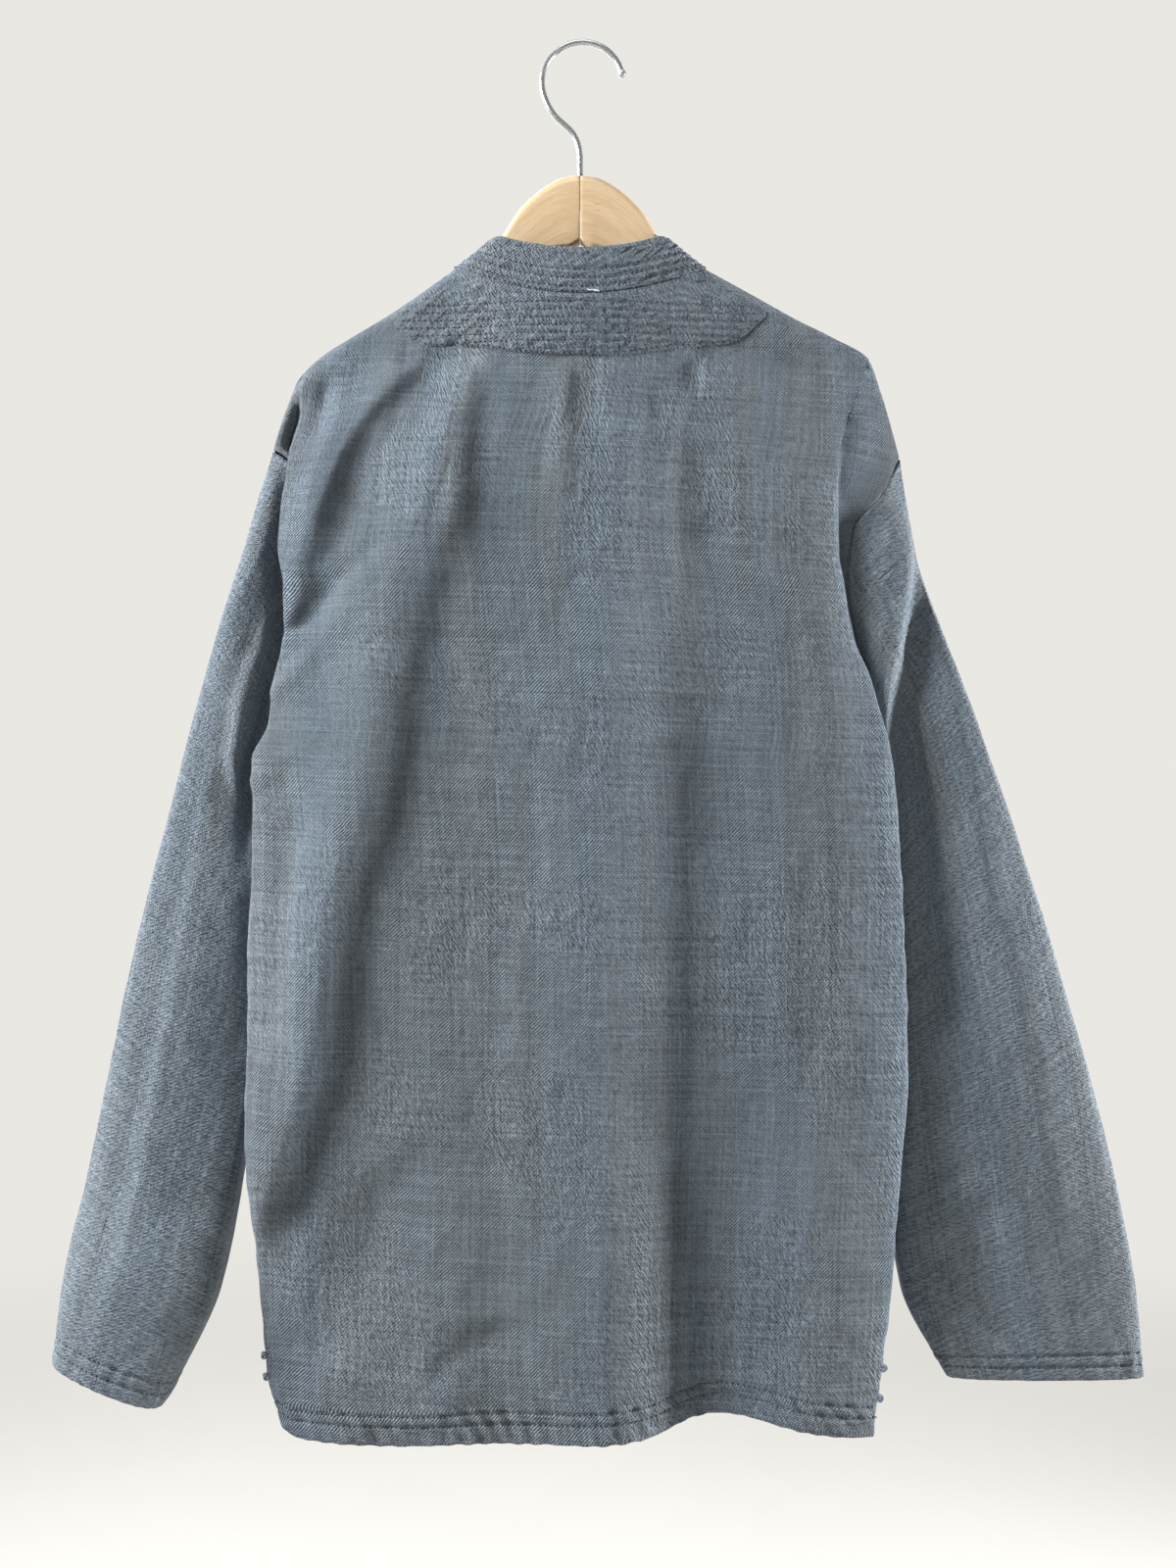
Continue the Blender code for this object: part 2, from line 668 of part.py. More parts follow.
def wall(name, outer, inner, material, wraps=False):
    """A closed cloth wall between two grids of points; wraps makes it a tube open at both ends."""
    rows, columns = outer.shape[:2]
    count = rows * columns
    points = np.vstack([outer.reshape(-1, 3), inner.reshape(-1, 3)])
    faces = []

    def spot(row, column):
        return row * columns + column % columns

    for row in range(rows - 1):
        for column in range(columns if wraps else columns - 1):
            a, b = spot(row, column), spot(row, column + 1)
            c, d = spot(row + 1, column + 1), spot(row + 1, column)
            faces.append((a, d, c, b))
            faces.append((count + a, count + b, count + c, count + d))
    border = [[spot(0, column) for column in range(columns)]]
    border.append([spot(rows - 1, column) for column in range(columns)][::-1])
    if wraps:
        border = [loop + loop[:1] for loop in border]
    else:
        right = [spot(row, columns - 1) for row in range(rows)]
        left = [spot(row, 0) for row in range(rows)][::-1]
        border += [right, left]
    for loop in border:
        for a, b in zip(loop[:-1], loop[1:]):
            faces.append((a, b, count + b, count + a))
    return add_mesh(name, points, faces, material)


def make_back(material):
    outer = back_grid()
    normals = normals_of(outer)
    normals[0] = neck_and_shoulder_square(normals[0], outer[0], "back")
    inward = -normals
    inward[:, 0] = border_inward(LEFT, outer[:, 0], "back")
    inward[:, -1] = border_inward(RIGHT, outer[:, -1], "back")
    thick = hem_thickness(len(outer))[:, None, None]
    wall("back_panel", outer, outer + inward * thick, material)


def front_face(side, across, z, x_top, z_top):
    """A front panel: across is 0 on its free edge past the middle and 1 on the side."""
    drop = z_top - z
    seam_x, seam_y = panel_border(side, z, "front")
    seam_x = np.where(z > HEAD[side].z, HEAD[side].x, seam_x)
    x = mix(-side * OVERLAP, seam_x, across)
    roll = np.clip(1 - across**FRONT_ROUND, 0, 1) ** (1 / FRONT_ROUND)
    start = mix(RIDGE, NECK_FRONT_OUT, neck_share(x_top))
    hang = mix(seam_y, FRONT_FLAT, roll)
    settled = mix(np.minimum(start, hang), hang, ease(drop / SETTLE))
    neck = neck_out(neck_share(x_top), NECK_FRONT_DROP, NECK_FRONT_OUT)
    top = np.where(across < 1, neck + SEAM_GAP / 2, seam_y)
    y = mix(top, settled, np.where(across < 1, ridge_turn(drop), 1.0))
    under = UNDERLAP_DROP * ease((1.6 * OVERLAP - side * x) / (0.6 * OVERLAP))
    return stacked(x, y - (under if side == RIGHT else 0.0), z)


def front_grid(side):
    """Outer points of a front panel, its columns from the free edge to the side."""
    neck = neck_stations()
    drop_x, _ = drop_stations(side)
    reach = np.concatenate([[-neck[1]], neck, shoulder_stations(side), side * drop_x])
    across = (reach + OVERLAP) / (side * HEAD[side].x + OVERLAP)
    x_top = side * reach
    z_top = top_z(x_top, NECK_FRONT_DROP)
    length = z_top - UNDERARM_Z[side]
    dropped = np.zeros_like(reach)
    dropped[-len(DROP_SHARES):] = ease(1.5 * DROP_SHARES)
    upper = z_top - mix(panel_rows(length), seam_rows(length), dropped)
    z_arm = np.full_like(z_top, UNDERARM_Z[side])
    lower = mix(z_arm, FRONT_HEM, low_share()[1:, None])
    z = np.vstack([upper, lower])
    return front_face(side, across[None, :], z, x_top[None, :], z_top[None, :])


def make_front(name, side, material):
    outer = front_grid(side)
    normals = normals_of(outer) * -side
    normals[0] = neck_and_shoulder_square(normals[0], outer[0], "front")
    inward = -normals
    inward[:, -1] = border_inward(side, outer[:, -1], "front")
    thick = hem_thickness(len(outer))[:, None, None]
    inner = outer + inward * thick
    if side == RIGHT:
        outer, inner = outer[:, ::-1], inner[:, ::-1]
    wall(name, outer, inner, material)


def sleeve_turns():
    """Angles round a sleeve, from its outer edge down the back and up the front."""
    turn = np.linspace(0, math.pi, ARM_ROWS + 1)
    return np.concatenate([turn, 2 * math.pi - turn[-2:0:-1]])


def by_seam(side, share, on_back):
    """How far the sleeve seam stands aside from a straight line between its ends, and how far out."""
    straight = mix(ARMHOLES[side][0].back_x, ARMHOLES[side][-1].back_x, share)
    z = mix(HEAD[side].z, UNDERARM_Z[side], share)
    back_x, back_y = armhole(side, z, "back")
    front_x, front_y = armhole(side, z, "front")
    aside = np.where(on_back, back_x, front_x) - straight
    out = np.where(on_back, back_y - SEAM_GAP / 2, front_y + SEAM_GAP / 2)
    return aside, np.where(share > 0, out, 0.0)


def sleeve_point(side, share, turn):
    """A point of the sleeve: share of its length, and its angle round it from the outer edge."""
    rows = SLEEVES[side]
    value = {name: table(rows, "share", name, share) for name in Sleeve._fields[1:]}
    across = (1 - np.cos(turn)) / 2
    x = mix(value["outer_x"], value["inner_x"], across)
    z = mix(value["outer_z"], value["inner_z"], across)
    bulge = np.sin(turn)
    swell = np.sign(bulge) * np.abs(bulge) ** SLEEVE_FLAT
    out = np.where(bulge > 0, value["near"], value["far"]) * swell
    lift = relief(SLEEVE_FOLDS[side], "share", "across", share, across)
    y = value["middle"] - out - lift * np.clip(bulge, 0, 1)
    aside, seam_y = by_seam(side, across, turn <= math.pi)
    free = ease(share / SEAM_BLEND)
    return stacked(x + aside * (1 - free), mix(seam_y, y, free), z)


def make_sleeve(name, side, material):
    turn = sleeve_turns()
    share = np.linspace(0, 1, SLEEVE_ROWS) ** 1.1
    share = np.append(share[:-1] * 0.965 / share[-2], 1.0)
    outer = sleeve_point(side, share[:, None], turn[None, :])
    head = np.exp(-((np.minimum(turn, 2 * math.pi - turn) / 0.5) ** 2))
    outer[0] += np.array([side * 0.8, 0.0, -0.6]) * SEAM_GAP
    outer[0] += np.array([side * 0.27, 0.0, -0.96]) * (HEAD_GAP * head)[:, None]
    foot = np.exp(-(((turn - math.pi) / 0.5) ** 2))
    outer[0] += np.array([side, 0.0, 0.0]) * (FOOT_GAP * foot)[:, None]
    normals = normals_of(outer, wraps=True) * -side
    inward = -normals
    on_back = (turn <= math.pi)[:, None]
    back, front = (seam_inward(side, outer[0, :, 2], sign, SEAM_LEAN) for sign in (1, -1))
    inward[0] = np.where(on_back, back, front)
    thick = hem_thickness(len(outer))[:, None, None]
    inner = outer + inward * thick
    if side == RIGHT:
        outer, inner = outer[:, ::-1], inner[:, ::-1]
    wall(name, outer, inner, material, wraps=True)


def make_collar(material):
    """The stand-up collar, from its left end at the front round the back of the neck."""
    end = math.pi - COLLAR_OPENING / 2 / NECK_HALF
    half = np.radians(np.concatenate([NECK_TURNS, 180 - NECK_TURNS[-2:0:-1]]))
    turn = np.concatenate([[-end], -half[:0:-1], half, [end]])
    low, top = collar_edges(turn)
    low = low + unit(top - low) * SEAM_GAP
    share = listed(COLLAR_ROWS, "share")[:, None, None]
    face = mix(top[None], low[None], share)
    normals = square(normals_of(face), unit(top - low)[None])
    outer = face + normals * listed(COLLAR_ROWS, "rise")[:, None, None]
    wall("collar_band", outer, face - normals * COLLAR_CLOTH, material)


def make_yoke(material):
    """The quilted patch, laid on the back panel from its own points moved out."""
    back = back_grid()
    normals = normals_of(back)
    stations = face_stations()
    ends = np.array([row.reach for row in YOKE if row.reach > NECK_HALF])
    neck = stations[np.abs(stations) < NECK_HALF + SEAM_GAP]
    x_top = np.concatenate([-ends[::-1], neck, ends])
    first = len(DROP_SHARES)
    rows = 2 * QUILT_ROWS + 1
    points = np.zeros((rows, len(x_top), 3))
    ways = np.zeros_like(points)
    for k, x in enumerate(x_top):
        column = min(np.searchsorted(stations, x, side="right") - 1, len(stations) - 2)
        share = (x - stations[column]) / (stations[column + 1] - stations[column])
        line = mix(back[:, first + column], back[:, first + column + 1], share)
        way = mix(normals[:, first + column], normals[:, first + column + 1], share)
        drops = line[0, 2] - line[:, 2]
        length = table(YOKE, "reach", "drop", np.abs(x))
        top = mix(YOKE_TOP, YOKE_SIDE_TOP, ease((np.abs(x) - 60) / (NECK_HALF - 62)))
        wanted = np.linspace(top, length, rows)
        for axis in range(3):
            points[:, k, axis] = np.interp(wanted, drops, line[:, axis])
            ways[:, k, axis] = np.interp(wanted, drops, way[:, axis])
    ways = unit(ways)
    inner = points + ways * YOKE_GAP
    raised = YOKE_CLOTH + QUILT_RISE * (np.arange(rows) % 2)
    wall("yoke_patch", inner + ways * raised[:, None, None], inner, material)


def make_knots(material):
    """Small cord rings that close the head of each side vent, beside the back's rolled edge."""
    grid = back_grid()
    edges = {LEFT: grid[:, len(DROP_SHARES) - 1], RIGHT: grid[:, -len(DROP_SHARES)]}
    reach = KNOT_RING + KNOT_CORD / 2 + SEAM_GAP
    for side, word in ((LEFT, "left"), (RIGHT, "right")):
        for number, height in enumerate(KNOT_HEIGHTS[side], 1):
            cloth = [np.interp(-height, -edges[side][:, 2], edges[side][:, axis]) for axis in range(3)]
            bpy.ops.mesh.primitive_torus_add(
                major_radius=KNOT_RING * MM,
                minor_radius=KNOT_CORD / 2 * MM,
                major_segments=12,
                minor_segments=6,
                location=(np.array(cloth) + np.array([side * reach, 0.0, 0.0])) * MM,
                rotation=(math.pi / 2, 0, 0),
            )
            knot = bpy.context.object
            knot.name = knot.data.name = f"vent_knot_{word}_{number}"
            knot.data.shade_smooth()
            knot.data.materials.append(material)


def make_buttons(material):
    """Plain round buttons down the middle of the overlapping left front."""
    for number in range(BUTTONS):
        height = BUTTON_TOP + BUTTON_STEP * number
        bpy.ops.mesh.primitive_cylinder_add(
            vertices=20,
            radius=BUTTON_ACROSS / 2 * MM,
            depth=BUTTON_THICK * MM,
            location=(0, (FRONT_FLAT + SEAM_GAP + BUTTON_THICK / 2) * MM, height * MM),
            rotation=(math.pi / 2, 0, 0),
        )
        button = bpy.context.object
        button.name = button.data.name = f"front_button_{number + 1}"
        edge = button.modifiers.new("edge", "BEVEL")
        edge.width = 0.6 * MM
        edge.segments = 1
        button.data.shade_smooth()
        button.data.materials.append(material)


def wood_top(side, reach):
    """Height of the wood's upper edge: bare in the neck, and just under the cloth outside it."""
    covered = [row for row in SHOULDER[side] if NECK_HALF < side * row.x <= side * TIP[side].x]
    reaches = np.append(listed(NECK_WOOD, "reach"), side * listed(covered, "x"))
    heights = np.append(listed(NECK_WOOD, "z"), listed(covered, "z") - WOOD_UNDER_CLOTH)
    return smooth(reach, reaches, heights)


def make_arm(name, side, material, cutter):
    """One mitred half of the hanger, its rounded sections set along the shoulder."""
    reach = np.array([SEAM_GAP / 2, 4.0, NOTCH_HALF, 20, 30, 40, 54, 68, 81])
    shoulder = shoulder_stations(side)
    shoulder = shoulder[shoulder < TIP_REACH - 4]
    reach = np.concatenate([reach, shoulder, [TIP_REACH - 2.5, TIP_REACH - 0.6]])
    top = wood_top(side, reach)
    deep = mix(WOOD_DEEP, TIP_DEEP, ease(reach / TIP_REACH))
    low = top - deep + NOTCH_RISE * np.clip(1 - reach / NOTCH_HALF, 0, 1)
    shrink = np.ones_like(reach)
    shrink[-2:] = (0.86, 0.55)
    half = shrink[:, None] * WOOD_THICK / 2
    tall = (shrink * (top - low) / 2)[:, None]
    middle = ((top + low) / 2)[:, None]
    turns = np.linspace(0, math.pi, 7)
    y = half * np.concatenate([np.cos(turns), -np.cos(turns)])
    over = middle + tall + half * (np.sin(turns) - 1)
    under = middle - tall - half * UNDER_ROUND * (np.sin(turns) - 1)
    z = np.concatenate([over, under], axis=1)
    grid = stacked(side * reach[:, None], y, z)
    count = grid.shape[1]
    faces = []
    for row in range(len(reach) - 1):
        for k in range(count):
            a, b = row * count + k, row * count + (k + 1) % count
            faces.append((a, b, b + count, a + count))
    faces.append(tuple(range(count))[::-1])
    faces.append(tuple(range((len(reach) - 1) * count, len(reach) * count)))
    if side == RIGHT:
        faces = [face[::-1] for face in faces]
    arm = add_mesh(name, grid.reshape(-1, 3), faces, material)
    hole = arm.modifiers.new("stem hole", "BOOLEAN")
    hole.operation = "DIFFERENCE"
    hole.solver = "EXACT"
    hole.object = cutter


def make_stem_cutter():
    """The round hole down the hanger's joint that takes the hook's stem."""
    deep = 40.0
    bpy.ops.mesh.primitive_cylinder_add(
        vertices=16,
        radius=STEM_HOLE / 2 * MM,
        depth=deep * MM,
        location=(0, 0, (STEM_FOOT - SEAM_GAP + deep / 2) * MM),
    )
    cutter = bpy.context.object
    cutter.name = "stem_hole_cutter"
    cutter.hide_render = True
    cutter.display_type = "WIRE"
    return cutter


def hook_path():
    """The wire's middle line: up the stem, through a reverse bend and over the round of the hook."""
    centre = np.array([HOOK_LEAN, 0.0, HOOK_WIRE / 2 - HOOK_RADIUS])
    arc = np.radians(np.linspace(200, 18, 25))
    round_part = centre + HOOK_RADIUS * stacked(np.cos(arc), 0.0, np.sin(arc))
    foot = np.array([0.0, 0.0, STEM_FOOT])
    top = np.array([0.0, 0.0, STEM_TOP - 14])
    start = round_part[0]
    way = unit(round_part[1] - round_part[0])
    t = np.linspace(0, 1, 11)[:-1, None]
    reach = 24.0
    lead = top + np.array([-2.0, 0.0, reach])
    trail = start - way * reach
    bend = (1 - t) ** 3 * top + 3 * (1 - t) ** 2 * t * lead
    bend = bend + 3 * (1 - t) * t**2 * trail + t**3 * start
    return np.vstack([foot[None], bend, round_part])


def make_hook(material):
    """The wire hook, round in section, with a ball on its free end."""
    path = hook_path()
    ways = unit(np.gradient(path, axis=0))
    flat = np.array([0.0, 1.0, 0.0])
    sides = unit(np.cross(ways, flat))
    sizes = np.full(len(path), HOOK_WIRE / 2)
    ball = np.radians([40, 65, 90, 115, 140, 160])
    tip_way = ways[-1]
    tip = path[-1] + tip_way * HOOK_BALL / 2
    path = np.vstack([path, tip - tip_way * np.cos(ball)[:, None] * HOOK_BALL / 2])
    sides = np.vstack([sides, np.repeat(sides[-1:], len(ball), axis=0)])
    sizes = np.append(sizes, np.sin(ball) * HOOK_BALL / 2)
    count = 10
    turn = np.linspace(0, 2 * math.pi, count, endpoint=False)
    ring = np.cos(turn)[None, :, None] * sides[:, None] + np.sin(turn)[None, :, None] * flat
    points = (path[:, None] + ring * sizes[:, None, None]).reshape(-1, 3)
    faces = []
    for row in range(len(path) - 1):
        for k in range(count):
            a, b = row * count + k, row * count + (k + 1) % count
            faces.append((b, a, a + count, b + count))
    faces.append(tuple(range(count)))
    last = (len(path) - 1) * count
    faces.append(tuple(range(last, last + count))[::-1])
    add_mesh("hanger_hook", points, faces, material)


def build():
    for old in list(bpy.data.objects):
        bpy.data.objects.remove(old, do_unlink=True)
    colour = (0.12, 0.15, 0.2)
    cloth = {
        name: plain_material(f"{name}_cloth", colour, 0.9)
        for name in ("back", "yoke", "collar", "front_left", "front_right", "sleeve_left", "sleeve_right")
    }
    cord = plain_material("cord", (0.08, 0.1, 0.13), 0.9)
    button = plain_material("button", (0.05, 0.06, 0.08), 0.5)
    wood = plain_material("wood", (0.75, 0.55, 0.32), 0.5)
    wire = plain_material("bright wire", (0.8, 0.8, 0.8), 0.15, metallic=1.0)
    make_back(cloth["back"])
    make_yoke(cloth["yoke"])
    make_collar(cloth["collar"])
    make_front("front_left", LEFT, cloth["front_left"])
    make_front("front_right", RIGHT, cloth["front_right"])
    make_sleeve("sleeve_left", LEFT, cloth["sleeve_left"])
    make_sleeve("sleeve_right", RIGHT, cloth["sleeve_right"])
    make_knots(cord)
    make_buttons(button)
    cutter = make_stem_cutter()
    make_arm("hanger_arm_left", LEFT, wood, cutter)
    make_arm("hanger_arm_right", RIGHT, wood, cutter)
    make_hook(wire)


build()
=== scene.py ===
"""Looks of the mandarin collar jacket on its hanger: cloth, sewing, wood, wire, light and camera.

Metres, +Z up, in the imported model's frame: the origin is inside the top of the hook, the back of
the jacket faces -Y and +X is the wearer's right. Sizes below are millimetres unless said otherwise.
"""

import math
from collections import namedtuple

import bpy
import numpy as np
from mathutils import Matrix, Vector


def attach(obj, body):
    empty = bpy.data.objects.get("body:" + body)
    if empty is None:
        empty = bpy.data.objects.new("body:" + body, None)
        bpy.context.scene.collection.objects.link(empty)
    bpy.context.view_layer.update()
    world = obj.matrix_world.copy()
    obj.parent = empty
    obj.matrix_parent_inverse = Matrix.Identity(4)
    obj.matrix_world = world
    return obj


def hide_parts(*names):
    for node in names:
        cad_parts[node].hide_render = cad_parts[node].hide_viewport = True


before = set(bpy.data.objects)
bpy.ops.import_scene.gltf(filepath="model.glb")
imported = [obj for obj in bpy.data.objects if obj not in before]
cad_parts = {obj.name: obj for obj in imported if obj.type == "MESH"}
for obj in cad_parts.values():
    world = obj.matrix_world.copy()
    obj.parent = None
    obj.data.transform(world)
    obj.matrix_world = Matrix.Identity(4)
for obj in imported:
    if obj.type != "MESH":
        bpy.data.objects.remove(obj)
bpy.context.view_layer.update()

MM = 0.001
LEFT, RIGHT = -1, 1
SIDE_WORDS = {LEFT: "left", RIGHT: "right"}

# Cloth
CLOTH = 1.2
HEM_CLOTH = 2.2
HEM_ZONE = 26.0
COLLAR_CLOTH = 2.4
SEAM_GAP = 0.3
HEAD_GAP = 1.3
FOOT_GAP = 0.6
COOL = (0.100, 0.123, 0.146, 1.0)
WARM = (0.106, 0.122, 0.136, 1.0)

# Hanger and hook
WOOD_THICK = 12.6
WOOD_DEEP = 43.0
TIP_DEEP = 24.0
NOTCH_RISE = 3.4
NOTCH_HALF = 7.0
MIDDLE_DEEPER = 5.0
MIDDLE_HALF = 26.0
TIP_REACH = 181.0
HOOK_WIRE = 3.8
HOOK_RADIUS = 26.0
HOOK_LEAN = 1.5
HOOK_BALL = 5.2
HOOK_ARC = (200, 18)
BALL_ARC = (42, 172)
BEND_START = 14.0
BEND_REACH = 24.0
BEND_ASIDE = -2.0
STEM_TOP = -58.0
STEM_FOOT = -106.0
STEM_HOLE = 4.8
STEM_HOLE_DEEP = 40.0
UNDER_ROUND = 0.6
GRAIN_SHIFT = 40.0

# Neck and shoulders
NECK_HALF = 81.0
NECK_SIDE = -145.0
NECK_BACK_DROP = 20.0
NECK_BACK_OUT = 20.0
NECK_FRONT_DROP = 74.0
NECK_FRONT_OUT = 12.0
COLLAR_TOP_HALF = 55.5
COLLAR_BACK_RISE = 29.5
COLLAR_SIDE_RISE = 20.0
COLLAR_FRONT_RISE = 31.0
COLLAR_TOP_OUT = 17.0
COLLAR_OPENING = 0.4
RIDGE = 8.5
NECK_RIDGE = 9.3
COLLAR_RIDGE = 10.4
COLLAR_QUICKER = 2.2
SETTLE = 110.0

# Fronts
FRONT_FLAT = 12.0
FRONT_HEM = -866.0
OVERLAP = NECK_HALF * math.sin(math.radians(18))
UNDERLAP_DROP = 2.8
UNDERLAP_FROM = 1.6
UNDERLAP_FADE = 0.6
FRONT_ROUND = 3.0

# Where the stitches of a front's free edge lie on its grid
EDGE_COLUMN = 3
EDGE_ROW = 12

# Fastenings and vents
BUTTON_ACROSS = 14.0
BUTTON_TOP = -262.0
BUTTON_STEP = -104.0
BUTTONS = 5
HOLE_AT = 1.5
HOLE_RADIUS = 1.15
HOLE_SLOPE = 0.45
HOLE_DEEP = 1.1
BUTTON_THREAD = 0.4
THREAD_FOOT = 1.2
THREAD_BOW = 1.05
THREAD_OVER = 0.35
KNOT_RING = 2.0
KNOT_CORD = 2.2
KNOT_TUBE = 0.95
KNOT_LOOP = 1.25
KNOT_LOBE = 0.4
KNOT_DEEP = 0.8
KNOT_TALL = 1.15
KNOT_COLUMNS_IN = 6
KNOT_COLUMNS_SEARCHED = 8
KNOT_HEIGHTS = {LEFT: (-833.0, -846.0), RIGHT: (-840.0, -859.0)}
VENT_TOP = -858.0
VENT_OPEN = 10.0

# Stage: places in metres, and the strength of the room's light
FLOOR_Z = -1.4
FLOOR_REACH = 2.6
ROOM_PALE = 0.82
ROOM_DIM = 0.1
ROOM_TURN = 0.55
ROOM_COLOUR = (1.0, 0.98, 0.93, 1.0)
CAMERA_PLACE = (0.005, -1.1, -0.475)
CAMERA_TARGET = (0.005, 0.0, -0.475)
CAMERA_AWAY = 1.1
CAMERA_SENSOR = 36.0
FRAME_HIGH = 1.008

# Grids of the pieces
NECK_COLUMNS = 60
NECK_CROWDED = 0.3
SHOULDER_COLUMNS = 44
STRIP_COLUMNS = 12
STRIP_QUICK = 1.5
RIDGE_TURNS = 10
ARM_ROWS = 82
LOW_ROWS = 104
HEM_ROWS = 26
SLEEVE_COLUMNS = 92
FRONT_COLUMNS = 46
COLLAR_COLUMNS = 220
COLLAR_LINES = 64
YOKE_COLUMNS = 140
YOKE_LINES = 80
BUTTON_COLUMNS = 56
BUTTON_LINES = 49
ARM_TURNS = 17

# How round the back's side folds are, and how far down a sleeve its seam's form is felt
FOLD_ROUND = 2.4
SEAM_BLEND = 0.22

# Rows of a sleeve and stations of a hanger's arm: start, stop and number of each stretch
SLEEVE_ROWS = ((0, 0.26, 64), (0.26, 0.955, 92), (0.955, 1, 30))
ARM_STATIONS = ((3, 84, 60), (86, 173, 44))

Place = namedtuple("Place", "x z")


def rows_of(kind, *rows):
    """A table whose rows are all of one kind."""
    return [kind(*row) for row in rows]


# Soft round lights, in metres and watts
Light = namedtuple("Light", "name place target size power colour")
STAGE_MIDDLE = (0.0, 0.0, -0.48)
DAYLIGHT = (0.97, 0.985, 1.0)
LIGHTS = rows_of(
    Light,
    ("key", (-1.62, -0.52, 0.3), STAGE_MIDDLE, 0.7, 118.0, DAYLIGHT),
    ("top", (-0.1, -0.8, 1.3), (0.0, 0.0, -0.4), 0.9, 10.0, (0.98, 0.99, 1.0)),
    ("right_rim", (1.6, -0.02, -0.5), (0.2, 0.0, -0.45), 0.16, 72.0, DAYLIGHT),
    ("right_fill", (1.4, -1.7, -0.3), STAGE_MIDDLE, 1.5, 8.0, (1.0, 0.96, 0.9)),
    ("rear", (-0.4, 1.9, 0.5), STAGE_MIDDLE, 1.4, 30.0, (1.0, 0.98, 0.95)),
)

# The shoulder line from the neck over the hanger's tip to the head of the sleeve seam
SHOULDER = {
    LEFT: rows_of(
        Place, (-81, -145), (-118, -171), (-146, -188), (-165, -200), (-181, -215), (-189, -236),
        (-197, -260),
    ),
    RIGHT: rows_of(
        Place, (81, -145), (112, -162), (137, -176), (163, -189), (185, -202), (194, -226),
        (205, -265),
    ),
}
TIP = {LEFT: Place(-181, -215), RIGHT: Place(185, -202)}
HEAD = {LEFT: Place(-197, -260), RIGHT: Place(205, -265)}
UNDERARM_Z = {LEFT: -418.0, RIGHT: -430.0}

# The wood's upper edge from the joint in the middle to the neck of the jacket
NeckWood = namedtuple("NeckWood", "reach z")
NECK_WOOD = rows_of(NeckWood, (0, -84), (10, -85.5), (20, -90), (38, -105), (54, -128.5), (81, -150))
WOOD_UNDER_CLOTH = 2.2

# The back's rolled side folds by height: where they stand across, and how far they stand out
Side = namedtuple("Side", "z left right left_out right_out middle_out")
SIDES = rows_of(
    Side,
    (-202, -181, 185, 8, 8, 20),
    (-236, -177, 174, 13, 11, 23),
    (-270, -185, 164, 17, 12, 26),
    (-327, -191, 164, 20, 12, 30),
    (-350, -187, 168, 21, 12, 31),
    (-377, -187, 173, 21, 13, 32),
    (-413, -194, 186, 20, 14, 33),
    (-438, -198, 193, 20, 15, 34),
    (-460, -208, 198, 20, 16, 34),
    (-537, -207, 204, 18, 18, 35),
    (-600, -210, 206, 19, 21, 36),
    (-660, -210, 206, 21, 21, 36),
    (-722, -207, 202, 22, 22, 37),
    (-784, -203, 197, 22, 23, 38),
    (-846, -197, 190, 22, 25, 39),
    (-884, -186, 186, 22, 26, 40),
)
SEAM_BEHIND_FOLD = 11.0
VENT_BEHIND_FOLD = 3.0
VENT_REACH = 130.0
TUCK = 45.0
TUCK_FROM = 0.6
TUCK_IN = 0.7
TUCK_BACK = 0.5
SEAM_LEAN = 0.9
SEAM_OUT = 7.0

# Ways into the cloth behind the right fold, and ways that a right sleeve stands off its seam
BEHIND_ARM = (-0.5, -0.75, 0.4)
BEHIND_FOLD = (-0.5, -0.85, 0.0)
SEAM_WAY = (0.8, 0.0, -0.6)
HEAD_WAY = (0.27, 0.0, -0.96)
FOOT_WAY = (1.0, 0.0, 0.0)
SEAM_ENDS = 0.5
SEAM_ROOT = 0.01

# The narrow groove below the tip of the left shoulder: its depth, place and width behind the fold
GROOVE_DIP, DIP_AT, DIP_WIDE = 6.5, 0.18, 0.12
GROOVE_SWELL, SWELL_AT, SWELL_WIDE = 4.0, 0.6, 0.22
GROOVE_START = 34.0
GROOVE_STOP = 14.0

# The sleeve seam from its head, share 0, down both sides of the arm to the underarm, share 1
Armhole = namedtuple("Armhole", "share back_x back_out front_x front_in")
ARMHOLES = {
    LEFT: rows_of(
        Armhole,
        (0.0, -197, 0, -197, 0),
        (0.03, -190, 2.5, -197, 3.5),
        (0.07, -183, 3, -196.5, 6),
        (0.15, -182, 1, -196, 9),
        (0.4, -184, 0, -193, 11.5),
        (0.55, -185, 1, -190, 11.5),
        (0.75, -186, 4, -189, 10),
        (0.95, -185, 6, -185, 4),
        (1.0, -184, 6, -184, -6),
    ),
    RIGHT: rows_of(
        Armhole,
        (0.0, 205, 0, 205, 0),
        (0.15, 193, 8, 201, 9),
        (0.29, 174, 9, 198, 11.5),
        (0.5, 171, 9, 194, 11.5),
        (0.75, 177, 8, 187, 10),
        (0.95, 181, 7, 182, 4),
        (1.0, 180, 6, 180, -6),
    ),
}

# The back's hem, higher where a fold falls back from the eye
Hem = namedtuple("Hem", "x z")
BACK_HEM = rows_of(
    Hem, (-186, -879), (-176, -884), (-116, -886), (-56, -883), (0, -883), (42, -880), (89, -870),
    (146, -880), (186, -884),
)

# The large folds of the back: a path down the cloth, the reach of each flank, and the height at
# the path's two ends; a valley has a negative height
Fold = namedtuple("Fold", "path left right top_height low_height")
Run = namedtuple("Run", "share across")


def crease(left, right, top_height, low_height, *path, kind=Place):
    """A fold from the reach of its two flanks, the heights of its two ends and its path."""
    return Fold(rows_of(kind, *path), left, right, top_height, low_height)


def run_crease(*values):
    """A fold on a sleeve, its path by share of the length and share of the width."""
    return crease(*values, kind=Run)


